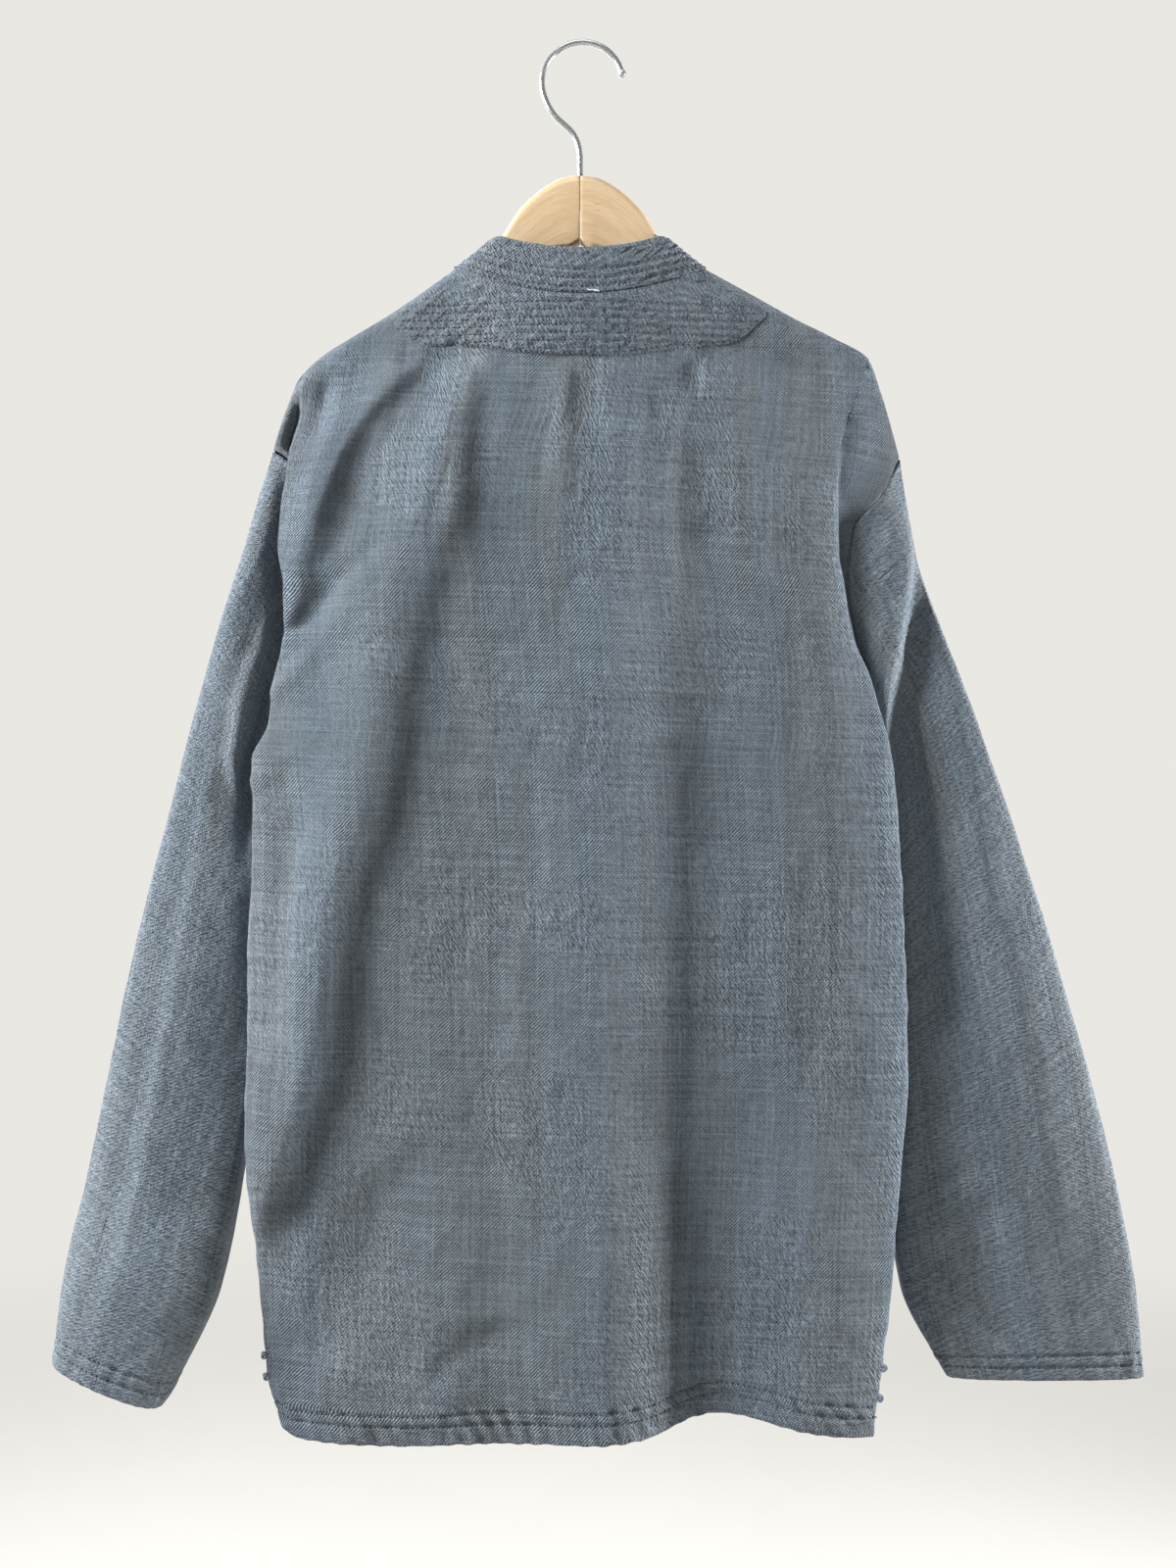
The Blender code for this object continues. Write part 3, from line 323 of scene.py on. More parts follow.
BACK_FOLDS = {
    "long left ridge": crease(
        34, 14, 9, 14, (-70, -215), (-99, -310), (-122, -400), (-132, -475), (-151, -536),
        (-172, -658), (-192, -719), (-220, -800),
    ),
    "left shoulder ridge": crease(
        22, 12, 18, 0, (-88, -185), (-149, -257), (-172, -324), (-186, -370), (-196, -410),
    ),
    "middle ridge": crease(46, 36, 2, 7, (24, -330), (26, -480), (28, -650), (24, -884), (22, -1000)),
    "right valley": crease(33, 58, -6, -18, (74, -233), (74, -475), (74, -656), (76, -1030)),
    "low left valley": crease(22, 30, -4, -4, (-104, -700), (-135, -765), (-176, -850)),
}
FOLD_FADE = 0.16

# Where small creases begin and end: the distance below the shoulder or sleeve seam that stays smooth,
# and the start and distance of each fade across a front
BACK_TIGHT = 14.0
FRONT_TIGHT = 20.0
SLEEVE_TIGHT = 0.05
FREE_EDGE = (26.0, 24.0)
FRONT_SEAM = (0.72, 0.28)
FRONT_SEWN = (0.9, 0.1)
STRIP_TIGHT = 1.4
FAR_SIDE = 0.6

# Smaller creases of the back, in the same form
BACK_CREASES = {
    "arm drag valley": crease(9, 9, -1.5, -4.5, (-120, -318), (-152, -348), (-184, -385)),
    "arm drag ridge": crease(8, 10, 1.0, 3.0, (-138, -358), (-164, -388), (-196, -424)),
    "low arm ridge": crease(9, 8, 0.6, 2.0, (-160, -440), (-190, -462), (-214, -480)),
    "first tuck under the yoke": crease(8, 7, 3.0, 1.4, (-10, -203), (-11, -245), (-14, -296)),
    "second tuck under the yoke": crease(6, 6, 2.4, 1.0, (17, -203), (18, -225), (20, -262)),
    "third tuck under the yoke": crease(9, 10, -2.0, -1.0, (47, -205), (49, -240), (46, -300)),
    "ridge head": crease(15, 11, 3.5, 2.0, (-64, -196), (-78, -245), (-101, -320)),
    "valley head": crease(17, 22, -4.5, -2.5, (77, -186), (77, -240), (76, -340)),
    "shoulder tuck": crease(5, 6, -1.6, -2.0, (-161, -214), (-164, -234), (-169, -258)),
    "right side hollow": crease(16, 14, -1.6, -2.6, (128, -250), (132, -360), (146, -520), (150, -700)),
    "left side hollow": crease(10, 12, -2.6, -1.2, (-172, -470), (-186, -560), (-192, -640)),
    "hem swing": crease(20, 24, 0.8, 3.4, (-66, -740), (-84, -820), (-98, -884)),
}
LEVEL_CREASES = {
    "right shoulder hollow": crease(7, 8, -2.4, -3.2, (64, -191), (102, -198), (156, -208)),
    "right shoulder swell": crease(12, 13, 3.0, 2.0, (72, -216), (100, -222), (134, -230)),
    "left neck hollow": crease(7, 8, -2.0, -2.2, (-120, -204), (-96, -204), (-58, -210)),
    "low slack": crease(9, 10, -2.4, -1.2, (-100, -848), (-56, -818), (2, -803)),
}
FRONT_CREASES = {
    "shoulder ridge": crease(14, 18, 3.0, 2.0, (108, -205), (124, -300), (136, -420), (128, -560)),
    "chest hollow": crease(16, 14, -2.6, -1.6, (76, -230), (88, -330), (92, -470)),
    "long ridge": crease(20, 22, 1.0, 3.0, (62, -470), (72, -640), (66, -860)),
    "side hollow": crease(18, 16, -2.2, -3.0, (120, -600), (132, -730), (124, -860)),
}

# A sleeve by its length from the seam, share 0, to the cuff, share 1: its outer and inner edge,
# how far its near and far sides stand from the middle, and where that middle lies
Sleeve = namedtuple("Sleeve", "share outer_x outer_z inner_x inner_z near far middle")
SLEEVES = {
    LEFT: rows_of(
        Sleeve,
        (0.0, -197, -260, -184, -418, 12, 11, 0),
        (0.1, -214, -317, -199, -446, 9, 11, 1),
        (0.2, -232, -376, -205, -478, 11, 11, 1),
        (0.4, -263, -492, -204, -560, 12, 12, 0),
        (0.6, -289, -598, -206, -645, 15, 14, 0),
        (0.8, -311, -716, -218, -738, 22, 20, -7),
        (0.9, -322, -776, -230, -798, 30, 27, -16),
        (1.0, -328, -832, -259, -861, 35, 29, -20),
    ),
    RIGHT: rows_of(
        Sleeve,
        (0.0, 205, -265, 180, -430, 12, 11, 0),
        (0.1, 215, -325, 196, -462, 9, 11, 1),
        (0.2, 235, -382, 199, -495, 12, 11, 1),
        (0.4, 274, -492, 202, -575, 16, 12, 0),
        (0.6, 311, -610, 203, -660, 17, 12, 0),
        (0.8, 344, -735, 199, -745, 17, 12, 0),
        (0.9, 355, -795, 206, -798, 15, 12, 0),
        (1.0, 361, -853, 234, -853, 14, 11, 0),
    ),
}
SLEEVE_FLAT = 0.38
NEAR_ROUND = 0.4
FAR_ROUND = 0.6
CUFF_ROUND = 300.0

# Folds along a sleeve's near side: share of the width from the outer edge, by share of length
SLEEVE_FOLDS = {
    LEFT: {
        "soft ridge": run_crease(0.32, 0.3, 1.5, 2.5, (0.3, 0.5), (0.6, 0.5), (0.97, 0.46)),
        "armpit bulge": run_crease(0.15, 0.15, 6, 4, (0.02, 0.5), (0.12, 0.55), (0.3, 0.6)),
    },
    RIGHT: {
        "near fold": run_crease(0.16, 0.2, 4, 0, (0.06, 0.2), (0.16, 0.4), (0.3, 0.56), (0.5, 0.62)),
        "cuff dent": run_crease(0.14, 0.14, -5, -3, (0.72, 0.8), (0.86, 0.72), (0.96, 0.7)),
    },
}
# Creases of the sleeves' near side, down the length and round the arm
LONG_CREASES = {
    LEFT: {
        "elbow hollow": run_crease(0.16, 0.12, -0.8, -1.6, (0.5, 0.7), (0.65, 0.74), (0.85, 0.76)),
        "outer hollow": run_crease(0.09, 0.08, -0.5, -1.0, (0.2, 0.22), (0.5, 0.24), (0.92, 0.25)),
        "pressed crease": run_crease(0.035, 0.045, 0.4, 0.9, (0.36, 0.36), (0.6, 0.37), (0.99, 0.4)),
        "inner fall": run_crease(0.13, 0.1, -3.5, -2.0, (0.34, 0.98), (0.6, 0.95), (0.86, 0.98)),
    },
    RIGHT: {
        "cuff column": run_crease(0.09, 0.1, -4.0, -2.4, (0.78, 0.6), (0.86, 0.62), (0.98, 0.6)),
        "outer swell": run_crease(0.12, 0.16, 1.0, 2.4, (0.3, 0.26), (0.55, 0.24), (0.85, 0.28)),
    },
}
ROUND_CREASES = {
    LEFT: {
        "first cuff drag": run_crease(
            0.006, 0.009, -0.8, -2.0, (0.985, 0.52), (0.94, 0.72), (0.9, 0.97),
        ),
        "second cuff drag": run_crease(
            0.005, 0.008, -0.7, -1.6, (0.965, 0.6), (0.945, 0.78), (0.925, 0.97),
        ),
        "cuff ridge": run_crease(0.007, 0.007, 0.5, 1.2, (0.975, 0.56), (0.943, 0.75), (0.913, 0.97)),
    },
    RIGHT: {
        "first cuff drag": run_crease(
            0.007, 0.009, -1.2, -4.0, (0.955, 0.74), (0.945, 0.86), (0.935, 1.0),
        ),
        "middle cuff drag": run_crease(
            0.006, 0.008, -0.8, -2.6, (0.925, 0.78), (0.912, 0.88), (0.9, 1.0),
        ),
        "second cuff drag": run_crease(
            0.011, 0.015, -1.2, -5.0, (0.885, 0.72), (0.86, 0.86), (0.835, 1.0),
        ),
    },
}

# Creases of the sleeves' near side beside the body, by place
BODY_CREASES = {
    LEFT: {
        "groove beside the body": crease(
            6, 10, -8, -7, (-178, -222), (-188, -300), (-192, -330), (-192, -377), (-199, -426),
            (-210, -470), (-213, -540),
        ),
        "cap ridge": crease(
            10, 13, 2.5, 1.5, (-194, -250), (-204, -290), (-212, -330), (-221, -377), (-231, -430),
            (-246, -510),
        ),
    },
    RIGHT: {
        "near layer": crease(
            24, 5, 7, 9, (204, -285), (208, -336), (206, -364), (197, -414), (191, -475), (189, -505),
        ),
        "recess": crease(
            13, 20, -7, -9, (212, -320), (213, -382), (214, -440), (221, -510), (230, -570),
            (238, -650),
        ),
    },
}

# The yoke patch: how far below the shoulder line its lower edge lies, by reach from the middle
Yoke = namedtuple("Yoke", "reach drop")
YOKE = rows_of(
    Yoke, (0, 39), (30, 41), (58, 44), (81, 50), (91, 44.5), (100, 37), (108, 27), (113, 19.5),
    (118, 12.5),
)
YOKE_CLOTH = 1.1
YOKE_GAP = 0.32
YOKE_TOP = 0.4
YOKE_SIDE_TOP = 9.0
QUILT_FOOT = -204.5
QUILT_STEP = 4.9
QUILT_ROWS = 8
QUILT_RISE = 1.0
QUILT_SLANT = math.radians(38)
DRAWN_SEED = 34

# Where across the yoke its quilting changes: the start, and over what distance
PLAIN_RIGHT, PLAIN_LEFT = (25, 60), (72, 20)
DRAWN_FROM, DRAWN_TO = (46, 26), (80, 20)
THIN_RIGHT = (40, 50)
YOKE_RISES = (60, 19)
DRAWN_RISE = 0.45
YOKE_ROLL = 3.5
YOKE_EDGE_STITCH = 1.3
YOKE_EDGE = 0.28

# The collar from its top edge, share 0, to its seam: stitched rows with raised cloth between them
CollarRow = namedtuple("CollarRow", "share rise")
COLLAR_ROWS = rows_of(
    CollarRow, (0.0, 0.0), (0.07, 0.7), (0.4, 0.75), (0.47, 0.0), (0.565, 0.75), (0.66, 0.0),
    (0.755, 0.75), (0.85, 0.0), (0.925, 0.75), (1.0, 0.7),
)
# The row at 0.97, beside the seam, draws a dark line: painted shade for the thin shadow along the collar's
# seam.
COLLAR_STITCH_SHARES = (0.47, 0.66, 0.85, 0.97)
COLLAR_TIGHT = 2.0
COLLAR_END = 4.0
TACK_REACH = (4.6, 12.2)
TACK_LINES = (-5, -1)
TACK_SIZES = (0.2, 0.5, 0.5, 0.5, 0.5, 0.5, 0.5, 0.5, 0.2)
TACK_LIFT = 0.35

# Sewing
STITCH_LONG = 2.5
STITCH_STEP = 3.4
STITCH_THICK = 0.5
STITCH_STRAY = 0.2
STITCH_AIM = 0.4
STITCH_LENGTHS = (0.88, 1.06)
STITCH_SIZES = (0.45, 1.0, 1.0, 0.45)
STITCH_LIFTS = (-0.7, 0.55, 0.55, -0.7)
HEM_STITCHES = (11.5, 18.5)
CUFF_STITCHES = (8.0, 15.5)
GROOVE_DEEP = 1.1
GROOVE_WIDE = 1.1
HEM_TURN = 17.0
CUFF_TURN = 14.0
TURN_FADE = 6.0

# Puckers along the sewn edges, and how their strength changes along the edge
PUCKER_WAVES = {"shortest": 10.0, "longest": 14.0, "count": 10, "fan": 0.6}
PUCKER_CHANGES = {"shortest": 60.0, "longest": 160.0, "count": 6, "fan": 0.2}
PUCKER_REACH = 5.0
PUCKER_HIGH = 0.5
PUCKER_LIFT = 0.25
PUCKER_LEAN = 0.8
CUFF_PUCKER = 0.6
PUCKER_SEEDS = {"back": 21, "front": 61, "sleeve": 81}

# Unevenness of the cloth, in seeded waves; quick says how much faster they pass down than across
Waves = namedtuple("Waves", "height quick seed shortest longest")
BACK_WAVES = rows_of(Waves, (0.8, 0.5, 11, 50, 130), (0.28, 1.0, 12, 12, 40))
FRONT_WAVES = rows_of(Waves, (0.7, 0.5, 51, 50, 130), (0.25, 1.0, 53, 12, 40))
SLEEVE_SWELL = rows_of(Waves, (0.7, 0.6, 71, 45, 120))
SLEEVE_CRUMPLE = rows_of(Waves, (0.25, 1.0, 73, 12, 36))
COLLAR_WAVES = rows_of(Waves, (0.2, 1.0, 41, 5, 13), (0.25, 1.0, 42, 25, 70))
COLLAR_LUMPS = rows_of(Waves, (0.35, 1.0, 43, 4, 10))
QUILT_SWAY = rows_of(Waves, (0.09, 0.2, 31, 14, 50))
QUILT_LUMPS = rows_of(Waves, (1.5, 1.2, 32, 3.5, 10))

# A button's turned outline, from the middle of its top over its rim to the middle of its foot;
# reach is a share of its radius, and the rows up to its face's edge can have holes
Turned = namedtuple("Turned", "reach height")
BUTTON_OUTLINE = rows_of(
    Turned, (0.0, 1.7), (0.28, 1.65), (0.5, 1.6), (0.62, 1.75), (0.72, 2.35), (0.82, 2.6), (0.92, 2.45),
    (0.985, 1.9), (1.0, 1.3), (0.97, 0.6), (0.86, 0.15), (0.6, 0.0), (0.0, 0.0),
)
BUTTON_FACE = 3.5

# How the hanger's arms narrow towards their tips and at the joint in the middle, by reach from there
Narrow = namedtuple("Narrow", "reach size")
TIP_NARROW = rows_of(Narrow, (0.6, 0.55), (0.9, 0.64), (1.6, 0.77), (2.6, 0.87), (4.0, 0.96), (6.0, 1.0))
JOINT_NARROW = rows_of(Narrow, (0.0, 0.965), (0.6, 0.99), (1.5, 1.0))


def listed(rows, name):
    """One named column of a table."""
    return np.array([getattr(row, name) for row in rows], float)


def smooth(at, stations, values):
    """Reads a column at any station, on a smooth curve that keeps between neighbouring rows."""
    order = np.argsort(stations)
    knots = np.asarray(stations, float)[order]
    heights = np.asarray(values, float)[order]
    step = np.diff(knots)
    slope = np.diff(heights) / step
    tangent = np.concatenate([slope[:1], np.zeros(len(slope) - 1), slope[-1:]])
    same_way = slope[:-1] * slope[1:] > 0
    total = np.where(same_way, slope[:-1] + slope[1:], 1.0)
    tangent[1:-1] = np.where(same_way, 2 * slope[:-1] * slope[1:] / total, 0.0)
    at = np.clip(at, knots[0], knots[-1])
    i = np.clip(np.searchsorted(knots, at, side="right") - 1, 0, len(step) - 1)
    t = (at - knots[i]) / step[i]
    rise = heights[i] * (1 + 2 * t) * (1 - t) ** 2 + heights[i + 1] * t * t * (3 - 2 * t)
    lean = tangent[i] * t * (1 - t) ** 2 + tangent[i + 1] * t * t * (t - 1)
    return rise + step[i] * lean


def table(rows, key, name, at):
    """A named column of a table, read at any value of its key column."""
    return smooth(at, listed(rows, key), listed(rows, name))


def ease(share):
    """A share from 0 to 1 that starts and stops gently."""
    share = np.clip(share, 0.0, 1.0)
    return share * share * (3 - 2 * share)


def fade(value, start, over):
    """A share that eases from 0 at a start to 1 a certain distance further on."""
    return ease((value - start) / over)


def mirrored(way, side):
    """A way given for the right side, turned round for the left."""
    return np.array(way) * (side, 1, 1)


def hump(value, at, wide):
    """A smooth rise to 1 at one value, falling away on both sides of it."""
    return np.exp(-(((value - at) / wide) ** 2))


def read_points(at, stations, points):
    """Reads a line of points at any station along it."""
    return np.stack([np.interp(at, stations, points[:, axis]) for axis in range(3)], axis=-1)


def joined(grid):
    """A grid with its first column repeated after its last."""
    return np.concatenate([grid, grid[:, :1]], axis=1)


def mix(low, high, share):
    return low + (high - low) * share


def unit(vectors):
    length = np.linalg.norm(vectors, axis=-1, keepdims=True)
    return vectors / np.maximum(length, 1e-9)


def stacked(x, y, z):
    return np.stack(np.broadcast_arrays(x, y, z), axis=-1).astype(float)


def relief(folds, along_name, across_name, along, across):
    """How far a set of folds lifts the cloth at each point."""
    lift = np.zeros(np.broadcast(along, across).shape)
    for fold in folds.values():
        stations = listed(fold.path, along_name)
        line = smooth(along, stations, listed(fold.path, across_name))
        share = (along - stations[0]) / (stations[-1] - stations[0])
        inside = ease(share / FOLD_FADE) * ease((1 - share) / FOLD_FADE)
        aside = across - line
        flank = np.where(aside < 0, fold.left, fold.right)
        height = mix(fold.top_height, fold.low_height, np.clip(share, 0, 1))
        lift += height * inside * hump(aside, 0.0, flank)
    return lift


def ripple(u, v, seed, shortest, longest, count=20, fan=math.pi):
    """Seeded unevenness about 1 high: waves of many lengths and directions laid over each other."""
    pick = np.random.default_rng(seed)
    lift = 0.0
    for _ in range(count):
        way = pick.uniform(0, fan)
        length = pick.uniform(shortest, longest)
        phase = pick.uniform(0, 2 * math.pi)
        lift = lift + np.cos(2 * math.pi * (u * math.cos(way) + v * math.sin(way)) / length + phase)
    return lift / math.sqrt(count)


def uneven(u, v, waves, shift=0, start=0.0):
    """Adds the unevenness of a table of waves to a start; shift moves on the seeds."""
    for row in waves:
        start = start + row.height * ripple(u, v * row.quick, row.seed + shift, row.shortest, row.longest)
    return start


def neck_share(x):
    """1 in the middle of the neck, falling in a curve to 0 at its sides."""
    return np.clip(1 - (x / NECK_HALF) ** 2, 0, 1)


def neck_out(share, drop, reach, ridge=NECK_RIDGE):
    """How far the neckline stands from the hook's plane: over the wood's ridge, then round it."""
    return ridge * ridge_turn(drop * share) + (reach - ridge) * share


def shoulder_z(x):
    """Height of the shoulder line on either side of the neck."""
    left = table(SHOULDER[LEFT], "x", "z", np.minimum(x, -NECK_HALF))
    right = table(SHOULDER[RIGHT], "x", "z", np.maximum(x, NECK_HALF))
    return np.where(x < 0, left, right)


def top_z(x, neck_drop):
    """Height of a panel's upper edge: the neckline in the middle, the shoulder line outside it."""
    neck = NECK_SIDE - neck_drop * neck_share(x)
    return np.where(np.abs(x) < NECK_HALF, neck, shoulder_z(x))


def ridge_turn(drop):
    """The quarter round that cloth makes where it bends down over the hanger's upper edge."""
    left_over = 1 - np.clip(drop / RIDGE, 0, 1)
    return np.sqrt(np.clip(1 - left_over**2, 0, 1))


def panel_rows(length):
    """Drops below the shoulder line of the rows above the underarm, close together on the ridge."""
    turn = RIDGE * (1 - np.cos(np.linspace(0, math.pi / 2, RIDGE_TURNS + 1)))
    left_over = ARM_ROWS - RIDGE_TURNS
    share = np.arange(1, left_over + 1) / left_over
    turn = np.broadcast_to(turn[:, None], (RIDGE_TURNS + 1, len(length)))
    return np.vstack([turn, RIDGE + (length - RIDGE) * share[:, None]])


def seam_rows(length):
    """Drops below the head of the sleeve seam, spaced as points round a ring are."""
    share = (1 - np.cos(np.linspace(0, math.pi, ARM_ROWS + 1))) / 2
    return length * share[:, None]


def low_share():
    """Shares of the rows from the underarm to the hem, close together in the sewn hem."""
    start = 1 - HEM_ZONE / (UNDERARM_Z[LEFT] - BACK_HEM[0].z)
    hem = mix(start, 1.0, np.arange(1, HEM_ROWS + 1) / HEM_ROWS)
    return np.concatenate([np.linspace(0, start, LOW_ROWS), hem])


def side_seam(side, z):
    """The side seam below the underarm, tucked in behind the back's rolled fold, less so at the vent."""
    fold = table(SIDES, "z", "left" if side == LEFT else "right", z)
    tucked = mix(VENT_BEHIND_FOLD, SEAM_BEHIND_FOLD, fade(z, VENT_TOP, VENT_REACH))
    return fold - side * tucked, np.full_like(fold, -SEAM_OUT)


def vent(z):
    """How far apart the panels stand at the side: a seam's gap, and more in the vent."""
    hem = BACK_HEM[0].z
    return SEAM_GAP + VENT_OPEN * np.clip((VENT_TOP - z) / (VENT_TOP - hem), 0, 1.2)


def arm_share(side, z):
    """How far down the sleeve seam a height is: 0 at its head and 1 at the underarm."""
    return (HEAD[side].z - z) / (HEAD[side].z - UNDERARM_Z[side])


def dropped_x(side, z):
    """Where the dropped shoulder lies across, below the hanger's tip."""
    drop = [place for place in SHOULDER[side] if place.z <= TIP[side].z]
    return table(drop, "z", "x", z)


def armhole(side, z, which):
    """The sleeve seam's place on the back or the front at a height between its head and the underarm."""
    share = np.clip(arm_share(side, z), 0, 1)
    rows = ARMHOLES[side]
    if which == "back":
        return table(rows, "share", "back_x", share), -table(rows, "share", "back_out", share)
    return table(rows, "share", "front_x", share), table(rows, "share", "front_in", share)


def panel_border(side, z, which):
    """A panel's outer border: the drop of the shoulder, then the sleeve seam, then the side seam."""
    arm_x, arm_y = armhole(side, z, which)
    low_x, low_y = side_seam(side, z)
    above, below = z > HEAD[side].z, z < UNDERARM_Z[side]
    x = np.where(above, dropped_x(side, z), np.where(below, low_x, arm_x))
    y = np.where(above, 0.0, np.where(below, low_y, arm_y))
    apart = np.where(below, vent(z), SEAM_GAP) / 2
    return x, y + (apart if which == "front" else -apart)


def seam_inward(side, z, sign, lean):
    """The way into the arm's hollow from the sleeve seam: down at its head, up at the underarm.

    sign is 1 on the back and -1 on the front; lean tips it, at the underarm, into the cloth's own side.
    """
    share = np.clip(arm_share(side, z), 0, 1)
    turn = np.arccos(np.clip(1 - 2 * share, -1, 1))
    inside = -side * 0.9 * hump(turn, 0.0, 0.3) + side * lean * np.sin(turn / 2) ** 4
    return unit(stacked(inside, sign * np.sqrt(np.sin(turn)), 0.15 - 0.35 * np.cos(turn)))


def back_face(across, z, drop):
    """The back between its two rolled folds: across is -1 on the left fold and 1 on the right."""
    left = table(SIDES, "z", "left", z)
    right = table(SIDES, "z", "right", z)
    x = mix(left, right, (across + 1) / 2)
    edge = mix(
        table(SIDES, "z", "left_out", z), table(SIDES, "z", "right_out", z), (across + 1) / 2
    )
    crown = table(SIDES, "z", "middle_out", z)
    roll = np.clip(1 - np.abs(across) ** FOLD_ROUND, 0, 1) ** (1 / FOLD_ROUND)
    hang = edge + (crown - edge) * roll + relief(BACK_FOLDS, "z", "x", z, x)
    start = mix(RIDGE, NECK_BACK_OUT, neck_share(x))
    out = mix(start, hang, ease(drop / SETTLE))
    neck = neck_out(neck_share(x), NECK_BACK_DROP, NECK_BACK_OUT)
    return stacked(x, -mix(neck + SEAM_GAP / 2, out, ridge_turn(drop)), z)


def back_strip(side, share, z):
    """The back behind a rolled fold: share is 0 on the fold and 1 on the sleeve or side seam."""
    fold = back_face(np.full_like(z, side), z, TIP[side].z - z)
    seam_x, seam_y = panel_border(side, z, "back")
    reached = np.clip((TIP[side].z - z) / (TIP[side].z - HEAD[side].z), share, 1)
    part = np.where(reached > 0, share / np.maximum(reached, 1e-9), 1.0)
    tucked = ease((HEAD[side].z + TUCK / 4 - z) / TUCK)
    rolled_in = mix(part, part**2, TUCK_IN)
    rolled_back = mix(part, 1 - (1 - part) ** 2, TUCK_BACK)
    x = mix(fold[..., 0], seam_x, mix(np.sin(part * math.pi / 2), rolled_in, tucked))
    y = mix(fold[..., 1], seam_y, mix(1 - np.cos(part * math.pi / 2), rolled_back, tucked))
    if side == LEFT:
        groove = ease((TIP[side].z - z) / GROOVE_START) * (1 - ease((HEAD[side].z + 4 - z) / GROOVE_STOP))
        dip = GROOVE_DIP * hump(part, DIP_AT, DIP_WIDE)
        y = y + groove * (dip - GROOVE_SWELL * hump(part, SWELL_AT, SWELL_WIDE))
    return stacked(x, y, z)


def neck_stations():
    """Places across the neck, from its middle to its side."""
    even = np.linspace(0, 1, NECK_COLUMNS + 1)
    return NECK_HALF * mix(even, np.sin(even * math.pi / 2), NECK_CROWDED)


def shoulder_stations(side):
    """Distances from the middle along a shoulder to the hanger's tip, even along the rolled fold."""
    tip = side * TIP[side].x
    start = math.acos((NECK_HALF / tip) ** (FOLD_ROUND / 2))
    turn = np.linspace(start, 0, SHOULDER_COLUMNS + 1)[1:]
    return tip * np.cos(turn) ** (2 / FOLD_ROUND)


def strip_shares():
    return np.arange(1, STRIP_COLUMNS + 1) / STRIP_COLUMNS


def drop_stations(side):
    """Places down the dropped shoulder, from past the hanger's tip to the head of the sleeve seam."""
    z = mix(TIP[side].z, HEAD[side].z, strip_shares())
    return dropped_x(side, z), z


def face_stations():
    """Places across the back on the shoulder line, from tip to tip."""
    right = np.concatenate([neck_stations(), shoulder_stations(RIGHT)])
    left = np.concatenate([neck_stations(), shoulder_stations(LEFT)])
    return np.concatenate([-left[:0:-1], right])


def back_grid():
    """Outer points of the back panel, row by row from the shoulder line to the hem."""
    x_top = face_stations()
    middle = (TIP[LEFT].x + TIP[RIGHT].x) / 2
    across = (x_top - middle) / (TIP[RIGHT].x - middle)
    z_top = top_z(x_top, NECK_BACK_DROP)
    z_arm = mix(UNDERARM_Z[LEFT], UNDERARM_Z[RIGHT], (across + 1) / 2)
    hem_x = mix(BACK_HEM[0].x, BACK_HEM[-1].x, (across + 1) / 2)
    z_hem = table(BACK_HEM, "x", "z", hem_x)
    upper = z_top - panel_rows(z_top - z_arm)
    lower = mix(z_arm, z_hem, low_share()[1:, None])
    z = np.vstack([upper, lower])
    face = back_face(across[None, :], z, z_top - z)
    strips = {}
    for side in (LEFT, RIGHT):
        share = strip_shares()
        _, top = drop_stations(side)
        length = top - UNDERARM_Z[side]
        upper = top - mix(panel_rows(length), seam_rows(length), ease(STRIP_QUICK * share))
        lower = mix(UNDERARM_Z[side], z_hem[0 if side == LEFT else -1], low_share()[1:, None])
        lower = np.broadcast_to(lower, (len(lower), len(share)))
        strips[side] = back_strip(side, share, np.vstack([upper, lower]))
    return np.concatenate([strips[LEFT][:, ::-1], face, strips[RIGHT]], axis=1)


def normals_of(grid, wraps=False):
    """Unit normals of a grid of points; wraps says that its last column meets its first."""
    if wraps:
        along = np.roll(grid, -1, axis=1) - np.roll(grid, 1, axis=1)
    else:
        along = np.gradient(grid, axis=1)
    down = np.gradient(grid, axis=0)
    return unit(np.cross(down, along))


def collar_edges(turn):
    """The collar's lower and upper edge at an angle round the neck, 0 in the middle of the back."""
    side, fore = np.sin(turn), np.cos(turn)
    back = fore >= 0
    share = fore**2
    low_y = np.where(
        back,
        -neck_out(share, NECK_BACK_DROP, NECK_BACK_OUT),
        neck_out(share, NECK_FRONT_DROP, NECK_FRONT_OUT),
    )
    low_z = NECK_SIDE - share * np.where(back, NECK_BACK_DROP, NECK_FRONT_DROP)
    low = stacked(NECK_HALF * side, low_y, low_z)
    rise = np.where(
        back,
        mix(COLLAR_SIDE_RISE, COLLAR_BACK_RISE, share),
        mix(COLLAR_SIDE_RISE, COLLAR_FRONT_RISE, share),
    )
    top_y = np.where(
        back,
        -neck_out(share, COLLAR_QUICKER * NECK_BACK_DROP, COLLAR_TOP_OUT, COLLAR_RIDGE),
        neck_out(share, NECK_FRONT_DROP, NECK_FRONT_OUT, COLLAR_RIDGE),
    )
    return low, stacked(COLLAR_TOP_HALF * side, top_y, low_z + rise)


def collar_rise(x, which):
    """The way the collar stands up from the neckline above a place across the neck."""
    turn = np.arcsin(np.clip(x / NECK_HALF, -1, 1))
    if which == "front":
        turn = math.pi - turn
    low, top = collar_edges(turn)
    return unit(top - low)


def square(normals, crossing):
    """Normals without their part across a seam, so that the cloths on both sides meet squarely."""
    return unit(normals - (normals * crossing).sum(-1, keepdims=True) * crossing)


